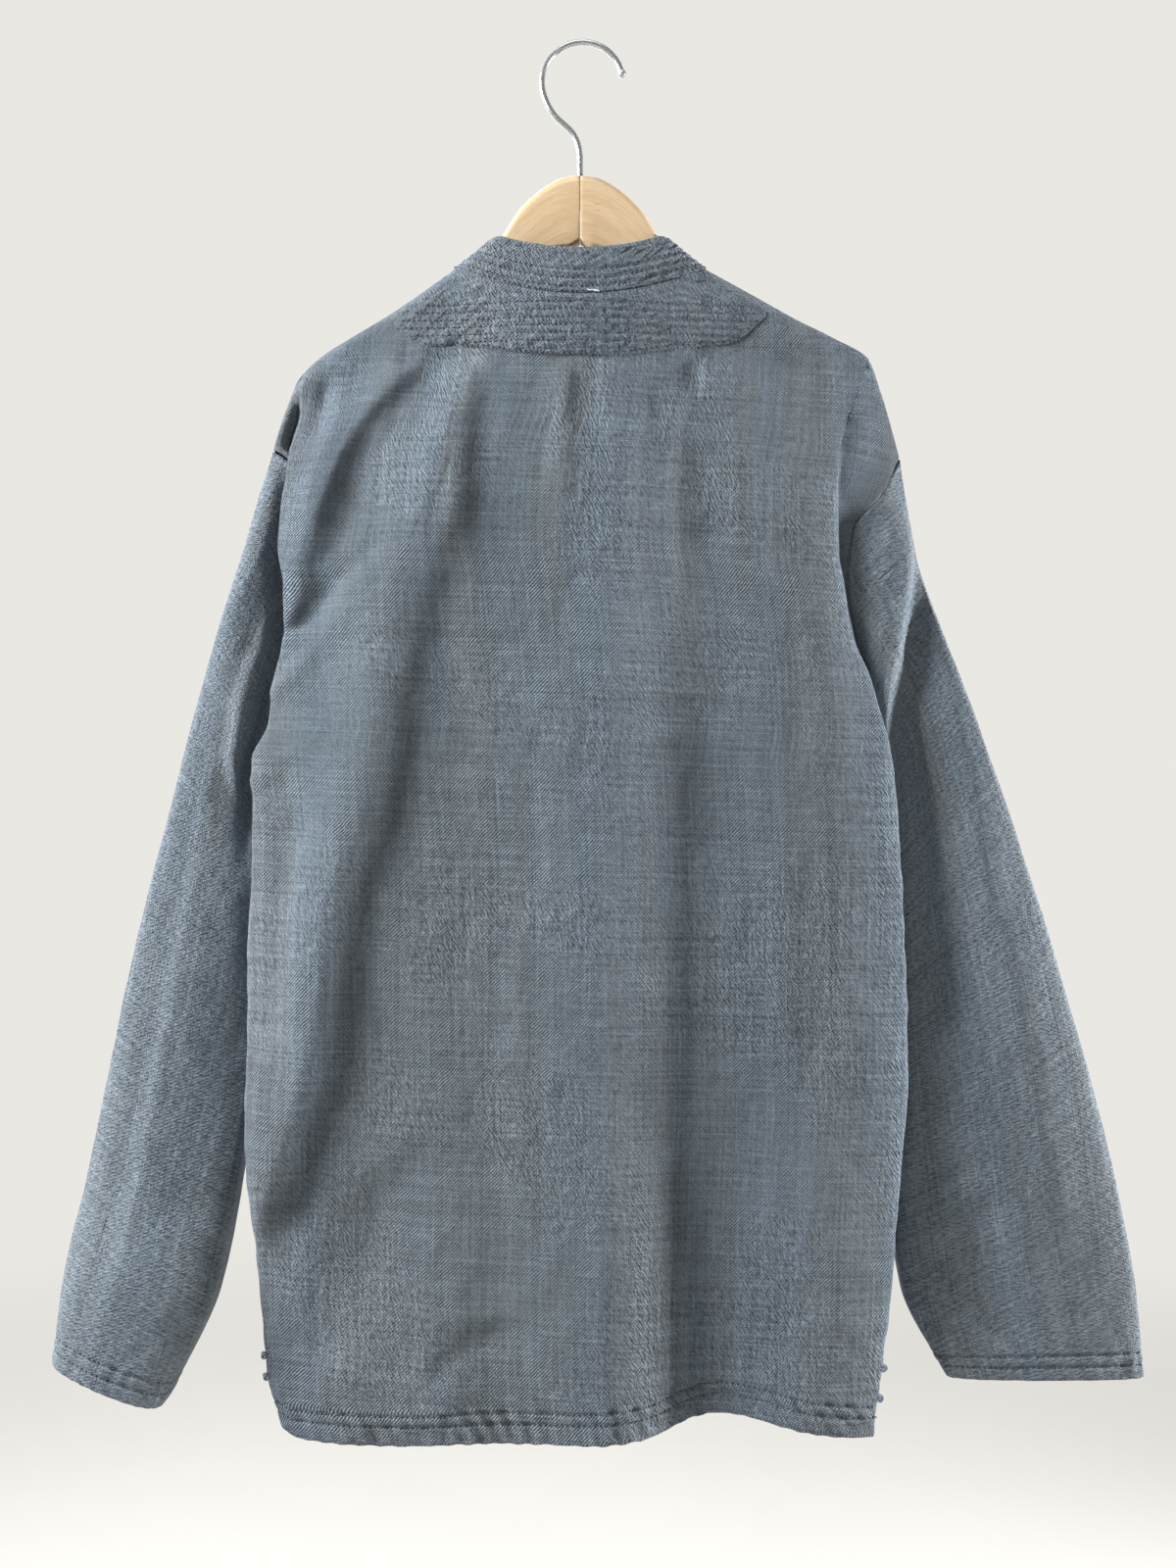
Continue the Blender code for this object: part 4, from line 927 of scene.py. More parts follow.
def neck_and_shoulder_square(normals, top_row, which):
    """Turns the normals of a panel's top row to suit the collar and the other panel's shoulder."""
    x = top_row[:, 0]
    flat = normals.copy()
    on_shoulder = np.abs(x) > NECK_HALF - 0.5
    flat[on_shoulder] = square(flat[on_shoulder], np.array([0.0, 1.0, 0.0]))
    on_neck = np.abs(x) < NECK_HALF + 0.5
    flat[on_neck] = square(flat[on_neck], collar_rise(x[on_neck], which))
    return flat


def border_inward(side, rows, which):
    """Ways into the hollow down a panel's outer border; the back's turns in behind its fold."""
    z = rows[:, 2]
    on_arm = (z >= UNDERARM_Z[side] - 0.01)[:, None]
    if which == "front":
        return np.where(on_arm, seam_inward(side, z, -1, -SEAM_LEAN), np.array([-side, 0.0, 0.0]))
    tucked = ease((arm_share(side, z) - TUCK_FROM) / (1 - TUCK_FROM))[:, None]
    behind = mirrored(BEHIND_ARM, side)
    ring = unit(mix(seam_inward(side, z, 1, -SEAM_LEAN), behind, tucked))
    return np.where(on_arm, ring, unit(mirrored(BEHIND_FOLD, side)))


def lengths_along(grid, axis):
    """Distances along a grid's rows or columns from its first point."""
    step = np.linalg.norm(np.diff(grid, axis=axis), axis=-1)
    start = np.zeros_like(np.take(step, [0], axis=axis))
    return np.concatenate([start, np.cumsum(step, axis=axis)], axis=axis)


def cloth_spread(grid, middle, level):
    """Flat cloth coordinates of a grid, in metres, from one of its columns and one of its rows."""
    across = lengths_along(grid, 1)
    down = lengths_along(grid, 0)
    across = across - across[:, middle:middle + 1]
    down = down - down[level:level + 1]
    return np.stack([across, -down], axis=-1) * MM


def add_mesh(name, points, faces, material, spread=None):
    """A smooth-shaded mesh; spread holds the flat cloth coordinates of every face corner."""
    mesh = bpy.data.meshes.new(name)
    mesh.from_pydata((points * MM).tolist(), [], [list(face) for face in faces])
    mesh.update()
    mesh.shade_smooth()
    mesh.materials.append(material)
    if spread is not None:
        layer = mesh.uv_layers.new(name="cloth")
        layer.uv.foreach_set("vector", np.asarray(spread, np.float32).ravel())
    piece = bpy.data.objects.new(name, mesh)
    bpy.context.scene.collection.objects.link(piece)
    return piece


def wall(name, outer, inner, spread, material, wraps=False, lips=()):
    """A closed cloth wall between two grids; lips names the borders that are free, rounded edges.

    wraps makes it a tube open at both ends; spread then has one column more than the grids.
    """
    rows, columns = outer.shape[:2]
    count = rows * columns
    wide = spread.shape[1]
    row, column = np.meshgrid(
        np.arange(rows - 1), np.arange(columns if wraps else columns - 1), indexing="ij"
    )
    row, column = row.ravel(), column.ravel()

    def spot(r, c):
        return r * columns + c % columns

    def flat_spot(r, c):
        return r * wide + np.minimum(c, wide - 1)

    corners = [(row, column), (row + 1, column), (row + 1, column + 1), (row, column + 1)]
    near = np.stack([spot(r, c) for r, c in corners], axis=1)
    near_flat = np.stack([flat_spot(r, c) for r, c in corners], axis=1)
    faces = [near, near[:, ::-1] + count]
    flats = [near_flat, near_flat[:, ::-1]]
    points = [outer.reshape(-1, 3), inner.reshape(-1, 3)]
    made = 2 * count
    every_row, every_column = np.arange(rows), np.arange(columns + 1 if wraps else columns)
    borders = {
        "top": (np.zeros_like(every_column), every_column, (1, 0)),
        "bottom": (np.full_like(every_column, rows - 1), every_column[::-1], (-1, 0)),
    }
    if not wraps:
        borders["right"] = (every_row, np.full_like(every_row, columns - 1), (0, -1))
        borders["left"] = (every_row[::-1], np.zeros_like(every_row), (0, 1))
    for word, (r, c, inwards) in borders.items():
        first = spot(r, c)
        rings = [first]
        if word in lips:
            edge = outer[r, c % columns]
            back = outer[r + inwards[0], (c + inwards[1]) % columns]
            far = inner[r, c % columns]
            middle, half = (edge + far) / 2, (edge - far) / 2
            reach = unit(edge - back) * np.linalg.norm(half, axis=1, keepdims=True)
            if not wraps:
                reach[0] = reach[-1] = 0.0
            for turn in np.linspace(0, math.pi, 6)[1:-1]:
                ring = middle + half * math.cos(turn) + reach * math.sin(turn)
                points.append(ring)
                rings.append(made + np.arange(len(ring)))
                made += len(ring)
        rings.append(first + count)
        at = flat_spot(r, c)
        for low, high in zip(rings[:-1], rings[1:]):
            faces.append(np.stack([low[:-1], low[1:], high[1:], high[:-1]], axis=1))
            flats.append(np.stack([at[:-1], at[1:], at[1:], at[:-1]], axis=1))
    flat_points = spread.reshape(-1, 2)
    return add_mesh(
        name, np.vstack(points), np.vstack(faces), material, flat_points[np.vstack(flats).ravel()]
    )


def ring_faces(rows, count, wide=None):
    """Faces between neighbouring rings of points; wide is the points in a row that is not a ring."""
    wide = wide or count
    faces = []
    for row in range(rows - 1):
        for k in range(count):
            a, b = row * wide + k, row * wide + (k + 1) % wide
            faces.append((a, b, b + wide, a + wide))
    return faces


def end_faces(rows, count, wide=None):
    """Faces over the first and the last ring of points."""
    last = (rows - 1) * (wide or count)
    return [tuple(range(count))[::-1], tuple(range(last, last + count))]


def edge_groove(distance, rows):
    """How deep stitch rows pull the cloth in, by distance from its edge."""
    return sum(-GROOVE_DEEP * hump(distance, at, GROOVE_WIDE) for at in rows)


def turned_cloth(distance, turned):
    """The cloth's thickness by distance from its edge: more as far as the edge is turned up."""
    return mix(HEM_CLOTH, CLOTH, fade(distance, turned, TURN_FADE))


def pucker(distance, along, rows, seed):
    """The uneven swelling that sewing leaves between the edge and its stitch rows."""
    reach = rows[-1] + PUCKER_REACH
    inside = ease(distance / 2.0) * ease((reach - distance) / PUCKER_REACH)
    lean = distance * PUCKER_LEAN
    waves = ripple(along, lean, seed, **PUCKER_WAVES)
    waves = waves + ripple(along, -lean, seed + 7, **PUCKER_WAVES)
    strength = 0.95 + 0.3 * ripple(along, 0.0 * distance, seed + 3, **PUCKER_CHANGES)
    swell = PUCKER_HIGH * np.clip(strength, 0.7, 1.2) * np.clip(waves, -1.3, 1.7)
    return inside * (swell + PUCKER_LIFT)


def sewn_edge(grid, normals, along, rows, seed, strength=1.0, inside=1.0):
    """A grid with the grooves and puckers of its sewn lower edge, and the distances from that edge."""
    distance = lengths_along(grid[::-1], 0)[::-1]
    sewn = edge_groove(distance, rows) + strength * pucker(distance, along, rows, seed)
    return grid + normals * (sewn * inside)[..., None], distance


def stitch_row(path, ways, seed=0):
    """Points and faces of a row of stitches laid along a path on the cloth."""
    step = np.linalg.norm(np.diff(path, axis=0), axis=1)
    at = np.concatenate([[0.0], np.cumsum(step)])
    number = max(int(at[-1] / STITCH_STEP), 1)
    pick = np.random.default_rng(seed)
    middle = (np.arange(number) + 0.5) * at[-1] / number + pick.uniform(-STITCH_STRAY, STITCH_STRAY, number)
    centre = read_points(middle, at, path)
    long_way = unit(read_points(middle + STITCH_AIM, at, path) - read_points(middle - STITCH_AIM, at, path))
    up = unit(read_points(middle, at, ways))
    aside = unit(np.cross(long_way, up))
    up = np.cross(aside, long_way)
    rings, sides = len(STITCH_SIZES), 5
    t = np.linspace(-1, 1, rings)
    turn = np.linspace(0, 2 * math.pi, sides, endpoint=False)
    size = STITCH_THICK * np.array(STITCH_SIZES)
    lift = STITCH_THICK * np.array(STITCH_LIFTS)
    half = STITCH_LONG / 2 * pick.uniform(*STITCH_LENGTHS, number)
    spine = centre[:, None] + long_way[:, None] * (half[:, None] * t)[..., None]
    spine = spine + up[:, None] * lift[None, :, None]
    ring = np.cos(turn)[None, None, :, None] * aside[:, None, None]
    ring = ring + np.sin(turn)[None, None, :, None] * up[:, None, None]
    points = spine[:, :, None] + ring * size[None, :, None, None]
    one = [(a, d, c, b) for a, b, c, d in ring_faces(rings, sides)]
    one += [end[::-1] for end in end_faces(rings, sides)]
    faces = [tuple(n * rings * sides + k for k in face) for n in range(number) for face in one]
    return points.reshape(-1, 3), faces


def sew(name, rows, material):
    """One mesh of several stitch rows, each given as a path and the ways out of the cloth."""
    points, faces, made = [], [], 0
    for number, (path, ways) in enumerate(rows):
        some, its_faces = stitch_row(path, ways, seed=number + len(name))
        points.append(some)
        faces += [tuple(made + k for k in face) for face in its_faces]
        made += len(some)
    return add_mesh(name, np.vstack(points), faces, material)


def level_line(grid, ways, distance, wanted):
    """A line along a grid's rows at one distance from its edge, with the ways out of the cloth."""
    line, out = [], []
    for column in range(grid.shape[1]):
        order = np.argsort(distance[:, column])
        steps = distance[order, column]
        line.append(read_points(wanted, steps, grid[order, column]))
        out.append(read_points(wanted, steps, ways[order, column]))
    return np.array(line), unit(np.array(out))


def dress(piece, nodes=()):
    """Makes a piece part of the jacket: it rides with the root body and hides the nodes it stands for."""
    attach(piece, "root")
    if nodes:
        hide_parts(*nodes)


def declare_cloth(grid, wraps=False):
    """Works out the flat size and area of the cloth that a piece was cut from, but does nothing with them."""
    ring = joined(grid) if wraps else grid
    wide = lengths_along(ring, 1)[:, -1].max()
    long = lengths_along(ring, 0)[-1].max()
    first = np.cross(ring[1:, :-1] - ring[:-1, :-1], ring[:-1, 1:] - ring[:-1, :-1])
    second = np.cross(ring[1:, :-1] - ring[1:, 1:], ring[:-1, 1:] - ring[1:, 1:])
    area = (np.linalg.norm(first, axis=-1).sum() + np.linalg.norm(second, axis=-1).sum()) / 2
    area = min(area, wide * long)


def dress_cloth(piece, sewing, node, grid, wraps=False):
    """Dresses a piece of cloth and the sewing that lies on it, and works out its flat size."""
    dress(piece, [node])
    for row in sewing:
        dress(row)
    declare_cloth(grid, wraps)


class Nodes:
    """The node tree of a material or a world, with short ways to add nodes to it."""

    def __init__(self, owner, surface="Principled BSDF"):
        owner.use_nodes = True
        self.owner = owner
        self.tree = owner.node_tree
        self.surface = self.tree.nodes[surface]

    def put(self, socket, value):
        if isinstance(value, bpy.types.NodeSocket):
            self.tree.links.new(value, socket)
        else:
            socket.default_value = value

    def add(self, kind, inputs=None, **settings):
        node = self.tree.nodes.new(kind)
        for name, value in settings.items():
            setattr(node, name, value)
        for name, value in (inputs or {}).items():
            self.put(node.inputs[name], value)
        return node

    def look(self, inputs):
        """Sets inputs of the surface, and returns the finished material or world."""
        for name, value in inputs.items():
            self.put(self.surface.inputs[name], value)
        return self.owner

    def math(self, operation, first, second=0.0):
        return self.add("ShaderNodeMath", {0: first, 1: second}, operation=operation).outputs[0]

    def weighed(self, *parts):
        """The sum of values, each times its weight."""
        total = None
        for value, weight in parts:
            part = self.math("MULTIPLY", value, weight)
            total = part if total is None else self.math("ADD", total, part)
        return total

    def cloth_place(self, turn=0.0, scale=(1.0, 1.0)):
        """The flat cloth coordinates, turned and then stretched."""
        source = self.add("ShaderNodeUVMap", uv_map="cloth").outputs[0]
        turned = self.add("ShaderNodeVectorRotate", {"Vector": source, "Angle": turn}, rotation_type="Z_AXIS")
        scaled = self.add(
            "ShaderNodeVectorMath", {0: turned.outputs[0], 1: (*scale, 1.0)}, operation="MULTIPLY"
        )
        return scaled.outputs[0]

    def noise(self, place, scale, detail=2.0, rough=0.5, bend=0.0, ways="2D"):
        node = self.add(
            "ShaderNodeTexNoise",
            {"Vector": place, "Scale": scale, "Detail": detail, "Roughness": rough, "Distortion": bend},
            noise_dimensions=ways,
        )
        return node.outputs[0]

    def streaks(self, across, down, *shape):
        """Noise on the flat cloth, drawn out along one of its ways."""
        return self.noise(self.cloth_place(0.0, (across, down)), *shape)

    def solid_noise(self, scale, detail, bend=0.0):
        """Noise by place in the piece itself."""
        place = self.add("ShaderNodeTexCoord").outputs["Object"]
        return self.noise(place, scale, detail, bend=bend, ways="3D")

    def between(self, value, low, high, to_low=0.0, to_high=1.0):
        node = self.add(
            "ShaderNodeMapRange",
            {"Value": value, "From Min": low, "From Max": high, "To Min": to_low, "To Max": to_high},
            interpolation_type="SMOOTHSTEP",
        )
        return node.outputs[0]

    def blend(self, share, first, second, kind="RGBA"):
        node = self.add("ShaderNodeMix", {"Factor": share}, data_type=kind)
        self.put(node.inputs["A"], first)
        self.put(node.inputs["B"], second)
        return node.outputs["Result"]

    def bump(self, height, strength, distance):
        node = self.add("ShaderNodeBump", {"Height": height, "Strength": strength, "Distance": distance})
        return node.outputs[0]


def new_look(name):
    return Nodes(bpy.data.materials.new(name))


def cloth_material(name, nap=1.0, twill_share=0.5, lean=-36.0):
    """Slub cotton: a fine twill, short crimped strokes across it, and slub lines both ways.

    nap strengthens the strokes, which lie at an angle of lean degrees; twill_share says how much of
    the cloth shows its twill instead.
    """
    n = new_look(name)
    plain = n.cloth_place()
    twill = n.add(
        "ShaderNodeTexWave",
        {"Vector": n.cloth_place(math.radians(44)), "Scale": 205.0, "Distortion": 2.0,
         "Detail": 2.0, "Detail Scale": 0.8},
        wave_type="BANDS", bands_direction="X",
    ).outputs[1]
    strokes = n.noise(n.cloth_place(math.radians(lean), (1.0, 0.26)), 860.0, 0.6, 0.4, 0.15)
    crimp = n.noise(plain, 760.0, 1.0, 0.5, 0.2)
    speck = n.noise(plain, 1500.0, 1.0, 0.6)
    patches = n.noise(plain, 9.0, 1.0)
    twilled = n.between(n.math("ADD", patches, twill_share - 0.5), 0.4, 0.6)
    stroked = n.weighed((strokes, 0.85), (twill, 0.15))
    weave = n.blend(twilled, stroked, n.weighed((strokes, 0.5), (twill, 0.5)), "FLOAT")
    weft = n.streaks(0.011, 1.0, 640.0, 2.0, 0.6)
    warp = n.streaks(1.0, 0.006, 560.0, 2.0, 0.6)
    stripes = n.streaks(1.0, 0.03, 70.0, 1.0)
    slub_across = n.between(n.streaks(0.03, 1.0, 1250.0, 0.5, 0.4), 0.58, 0.74)
    slub_down = n.between(n.streaks(1.0, 0.022, 1150.0, 0.5, 0.4), 0.58, 0.74)
    slubs = n.math("ADD", n.math("MAXIMUM", slub_across, slub_down), 0.4)
    ground = n.blend(n.between(n.streaks(1.0, 0.05, 22.0), 0.36, 0.64), COOL, WARM)
    value = 1.0
    parts = (speck, 1.7), (weave, 1.3), (weft, 0.8), (warp, 0.65), (slubs, 0.32), (stripes, 0.3)
    for part, strength in parts:
        value = n.math("ADD", value, n.math("MULTIPLY", n.math("SUBTRACT", part, 0.5), strength))
    value = n.math("MAXIMUM", value, 0.25)
    colour = n.add("ShaderNodeVectorMath", {0: ground, "Scale": value}, operation="SCALE").outputs[0]
    height = n.weighed((weave, 0.75), (crimp, 0.4), (speck, 0.15))
    return n.look({
        "Base Color": colour, "Normal": n.bump(height, 1.0, 0.0018 * nap), "Roughness": 0.94,
        "Specular IOR Level": 0.18, "Sheen Weight": 0.16, "Sheen Roughness": 0.4,
        "Sheen Tint": (0.75, 0.83, 0.95, 1.0),
    })


def thread_material(name, colour, twist=900.0):
    """Spun thread or cord: painted shade, darker in patches of noise that stand for the hollows of its twist.
    """
    n = new_look(name)
    strands = n.solid_noise(twist, 2.0)
    # Painted shade: the thread's colour darkened for the hollows of its twist.
    dark = tuple(part * 0.45 for part in colour[:3]) + (1.0,)
    return n.look({
        "Base Color": n.blend(n.between(strands, 0.35, 0.65), dark, colour),
        "Normal": n.bump(strands, 0.8, 0.0003), "Roughness": 0.85, "Sheen Weight": 0.2,
    })


def wood_material():
    """Pale maple with fine grain along each arm, satin varnish and a few darker streaks."""
    n = new_look("pale_maple")
    lines = n.streaks(0.06, 1.0, 520.0, 3.0, 0.6, 0.3)
    figure = n.streaks(0.12, 1.0, 90.0, 2.0, 0.5, 0.8)
    pores = n.between(n.streaks(0.09, 1.0, 1500.0, 1.0), 0.64, 0.72)
    tone = n.blend(n.between(figure, 0.3, 0.7), (0.47, 0.335, 0.195, 1.0), (0.52, 0.385, 0.235, 1.0))
    tone = n.blend(n.between(lines, 0.45, 0.8, 0.0, 0.4), tone, (0.38, 0.24, 0.12, 1.0))
    tone = n.blend(n.math("MULTIPLY", pores, 0.25), tone, (0.26, 0.155, 0.075, 1.0))
    return n.look({
        "Base Color": tone, "Normal": n.bump(lines, 0.35, 0.0003),
        "Roughness": n.between(figure, 0.3, 0.7, 0.34, 0.46), "Coat Weight": 0.25, "Coat Roughness": 0.25,
    })


def wire_material():
    """Bright plated wire, with faint drawing marks in its gloss."""
    n = new_look("bright_plating")
    tone = n.blend(n.solid_noise(60.0, 2.0), (0.36, 0.37, 0.38, 1.0), (0.50, 0.50, 0.50, 1.0))
    gloss = n.between(n.solid_noise(700.0, 3.0), 0.3, 0.7, 0.2, 0.3)
    return n.look({"Base Color": tone, "Metallic": 0.75, "Roughness": gloss})


def button_material():
    """Dark horn-like resin with soft clouds, polished."""
    n = new_look("dark_horn")
    cloud = n.solid_noise(140.0, 4.0, 1.2)
    tone = n.blend(n.between(cloud, 0.35, 0.7), (0.020, 0.022, 0.028, 1.0), (0.085, 0.075, 0.068, 1.0))
    gloss = n.between(cloud, 0.3, 0.7, 0.22, 0.36)
    return n.look({"Base Color": tone, "Roughness": gloss, "Coat Weight": 0.2})


def make_back(material, thread):
    """The back panel, and its outer points and normals for what is sewn on it."""
    grid = back_grid()
    normals = normals_of(grid)
    x, z = grid[..., 0], grid[..., 2]
    columns = z.shape[1]
    strip = np.zeros(columns)
    strip[:STRIP_COLUMNS] = strip_shares()[::-1]
    strip[-STRIP_COLUMNS:] = strip_shares()
    free = ease((z[:1] - z) / BACK_TIGHT) * (1 - ease(STRIP_TIGHT * strip))[None, :]
    lift = relief(BACK_CREASES, "z", "x", z, x) + relief(LEVEL_CREASES, "x", "z", x, z)
    lift = uneven(x, z, BACK_WAVES, start=lift)
    grid = grid + normals * (lift * free)[..., None]
    along = lengths_along(grid, 1)
    grid, from_hem = sewn_edge(grid, normals, along, HEM_STITCHES, PUCKER_SEEDS["back"])
    normals = normals_of(grid)
    normals[0] = neck_and_shoulder_square(normals[0], grid[0], "back")
    inward = -normals
    inward[:, 0] = border_inward(LEFT, grid[:, 0], "back")
    inward[:, -1] = border_inward(RIGHT, grid[:, -1], "back")
    inner = grid + inward * turned_cloth(from_hem, HEM_TURN)[..., None]
    spread = cloth_spread(grid, columns // 2, ARM_ROWS)
    back = wall("jacket_back", grid, inner, spread, material, lips=("bottom",))
    rows = [level_line(grid, normals, from_hem, at) for at in HEM_STITCHES]
    stitches = sew("back_hem_stitches", rows, thread)
    dress_cloth(back, [stitches], "back_panel", grid)
    return grid, normals


def quilted(points, along, down):
    """The patch's thickness: lumpy ribs between stitch rows, flatter to the right, drawn at the left end."""
    x, z = points[..., 0], points[..., 2]
    rows_up = uneven(along, down, QUILT_SWAY, start=(z - QUILT_FOOT) / QUILT_STEP)
    rib = np.abs(np.sin(math.pi * rows_up)) ** 0.8
    edges = [along, along[:, -1:] - along, down, down[-1:] - down]
    rolled = ease(np.minimum.reduce(edges) / YOKE_ROLL)
    lumps = 0.45 + 0.55 * np.tanh(uneven(along, down, QUILT_LUMPS))
    plainer = 1 - 0.7 * fade(x, *PLAIN_RIGHT) - 0.7 * fade(-x, *PLAIN_LEFT)
    up_hill = x * math.cos(QUILT_SLANT) + z * math.sin(QUILT_SLANT)
    across_hill = z * math.cos(QUILT_SLANT) - x * math.sin(QUILT_SLANT)
    by_end = fade(-x, *DRAWN_FROM) * (1 - 0.8 * fade(-x, *DRAWN_TO))
    drawn = by_end * ripple(up_hill * 0.3, across_hill, DRAWN_SEED, 4.5, 10)
    puffed = QUILT_RISE * plainer * rib * lumps + DRAWN_RISE * np.clip(drawn, -0.8, 2.0)
    thinner = 1 - 0.55 * fade(x, *THIN_RIGHT)
    return YOKE_EDGE + rolled * thinner * (YOKE_CLOTH - YOKE_EDGE + puffed)


def make_yoke(grid, normals, material, thread):
    """The quilted patch, laid on the back's own points moved out."""
    stations = face_stations()
    face = grid[:, STRIP_COLUMNS:-STRIP_COLUMNS]
    ways = normals[:, STRIP_COLUMNS:-STRIP_COLUMNS]
    reach = YOKE[-1].reach
    share = np.linspace(0, 1, YOKE_LINES)
    points = np.zeros((YOKE_LINES, YOKE_COLUMNS, 3))
    out = np.zeros_like(points)
    for k, x in enumerate(np.linspace(-reach, reach, YOKE_COLUMNS)):
        column = min(np.searchsorted(stations, x, side="right") - 1, len(stations) - 2)
        part = (x - stations[column]) / (stations[column + 1] - stations[column])
        line = mix(face[:, column], face[:, column + 1], part)
        way = mix(ways[:, column], ways[:, column + 1], part)
        drops = line[0, 2] - line[:, 2]
        top = mix(YOKE_TOP, YOKE_SIDE_TOP, fade(abs(x), *YOKE_RISES))
        wanted = mix(top, table(YOKE, "reach", "drop", abs(x)), share)
        points[:, k] = read_points(wanted, drops, line)
        out[:, k] = read_points(wanted, drops, way)
    out = unit(out)
    down = lengths_along(points, 0)
    inner = points + out * YOKE_GAP
    outer = inner + out * quilted(points, lengths_along(points, 1), down)[..., None]
    spread = cloth_spread(outer, YOKE_COLUMNS // 2, 0)
    yoke = wall("jacket_yoke", outer, inner, spread, material)
    outer_ways = normals_of(outer)
    lines = []
    for row in range(1, QUILT_ROWS):
        level = QUILT_FOOT + row * QUILT_STEP
        inside = np.flatnonzero((points[0, :, 2] - 2.0 > level) & (points[-1, :, 2] + 2.0 < level))
        lines.append(level_line(outer[:, inside], outer_ways[:, inside], -outer[:, inside, 2], -level))
    from_edge = (down[-1:] - down)[:, 2:-2]
    lines.append(level_line(outer[:, 2:-2], outer_ways[:, 2:-2], from_edge, YOKE_EDGE_STITCH))
    stitches = sew("yoke_stitches", lines, thread)
    dress_cloth(yoke, [stitches], "yoke_patch", outer)


def make_collar(material, thread, tack):
    """The stand-up collar with its stitched rows, and a pale tacking stitch at the middle of its seam."""
    end = math.pi - COLLAR_OPENING / 2 / NECK_HALF
    low, top = collar_edges(np.linspace(-end, end, COLLAR_COLUMNS))
    low = low + unit(top - low) * SEAM_GAP
    share = np.linspace(0, 1, COLLAR_LINES)
    face = mix(top[None], low[None], share[:, None, None])
    normals = square(normals_of(face), unit(top - low)[None])
    along, down = lengths_along(face, 1), lengths_along(face, 0)
    rise = table(COLLAR_ROWS, "share", "rise", share)[:, None]
    ends = np.minimum(along, along[:, -1:] - along)
    loose = ease(down / COLLAR_TIGHT) * ease((down[-1:] - down) / COLLAR_TIGHT) * ease(ends / COLLAR_END)
    lift = rise * uneven(along, down, COLLAR_LUMPS, start=1)
    lift = lift + uneven(along, down, COLLAR_WAVES) * loose
    outer = face + normals * lift[..., None]
    inner = face - normals * COLLAR_CLOTH
    spread = cloth_spread(outer, COLLAR_COLUMNS // 2, 0)
    collar = wall("jacket_collar", outer, inner, spread, material, lips=("top",))
    ways = normals_of(outer)
    lines = [int(round(at * (COLLAR_LINES - 1))) for at in COLLAR_STITCH_SHARES]
    stitches = sew("collar_stitches", [(outer[line, 3:-3], ways[line, 3:-3]) for line in lines], thread)
    tacking = make_tack(outer, ways, tack)
    dress_cloth(collar, [stitches, tacking], "collar_band", outer)


def make_tack(outer, ways, material):
    """One slanting stitch of thread by the collar's seam, on the collar's outer points."""
    count = len(TACK_SIZES)
    behind = (outer[-1, :, 1] < 0) & (np.abs(outer[-1, :, 0]) < NECK_HALF / 2)
    lines = np.linspace(*TACK_LINES, count).round().astype(int)
    path = np.zeros((count, 3))
    for k, (x, line) in enumerate(zip(np.linspace(*TACK_REACH, count), lines)):
        lift = TACK_LIFT + TACK_LIFT * math.sin(math.pi * k / (count - 1))
        places = outer[line, behind] + ways[line, behind] * lift
        path[k] = read_points(x, places[:, 0], places)
    return tube("collar_tack", path, np.array(TACK_SIZES), material, sides=8)


def front_face(side, across, z, x_top, z_top):
    """A front panel: across is 0 on its free edge past the middle and 1 on the side."""
    drop = z_top - z
    seam_x, seam_y = panel_border(side, z, "front")
    seam_x = np.where(z > HEAD[side].z, HEAD[side].x, seam_x)
    x = mix(-side * OVERLAP, seam_x, across)
    roll = np.clip(1 - across**FRONT_ROUND, 0, 1) ** (1 / FRONT_ROUND)
    start = mix(RIDGE, NECK_FRONT_OUT, neck_share(x_top))
    hang = mix(seam_y, FRONT_FLAT, roll)
    settled = mix(np.minimum(start, hang), hang, ease(drop / SETTLE))
    neck = neck_out(neck_share(x_top), NECK_FRONT_DROP, NECK_FRONT_OUT)
    top = np.where(across < 1, neck + SEAM_GAP / 2, seam_y)
    y = mix(top, settled, np.where(across < 1, ridge_turn(drop), 1.0))
    under = UNDERLAP_DROP * ease((UNDERLAP_FROM * OVERLAP - side * x) / (UNDERLAP_FADE * OVERLAP))
    return stacked(x, y - (under if side == RIGHT else 0.0), z)


def front_grid(side):
    """Outer points of a front panel, its columns from the free edge to the side."""
    drop_x, _ = drop_stations(side)
    reach = np.concatenate([
        np.linspace(-OVERLAP, NECK_HALF, FRONT_COLUMNS), shoulder_stations(side)[3::2], side * drop_x,
    ])
    across = (reach + OVERLAP) / (side * HEAD[side].x + OVERLAP)
    x_top = side * reach
    z_top = top_z(x_top, NECK_FRONT_DROP)
    length = z_top - UNDERARM_Z[side]
    dropped = np.zeros_like(reach)
    dropped[-STRIP_COLUMNS:] = ease(STRIP_QUICK * strip_shares())
    upper = z_top - mix(panel_rows(length), seam_rows(length), dropped)
    z_arm = np.full_like(z_top, UNDERARM_Z[side])
    lower = mix(z_arm, FRONT_HEM, low_share()[1:, None])
    z = np.vstack([upper, lower])
    return front_face(side, across[None, :], z, x_top[None, :], z_top[None, :])


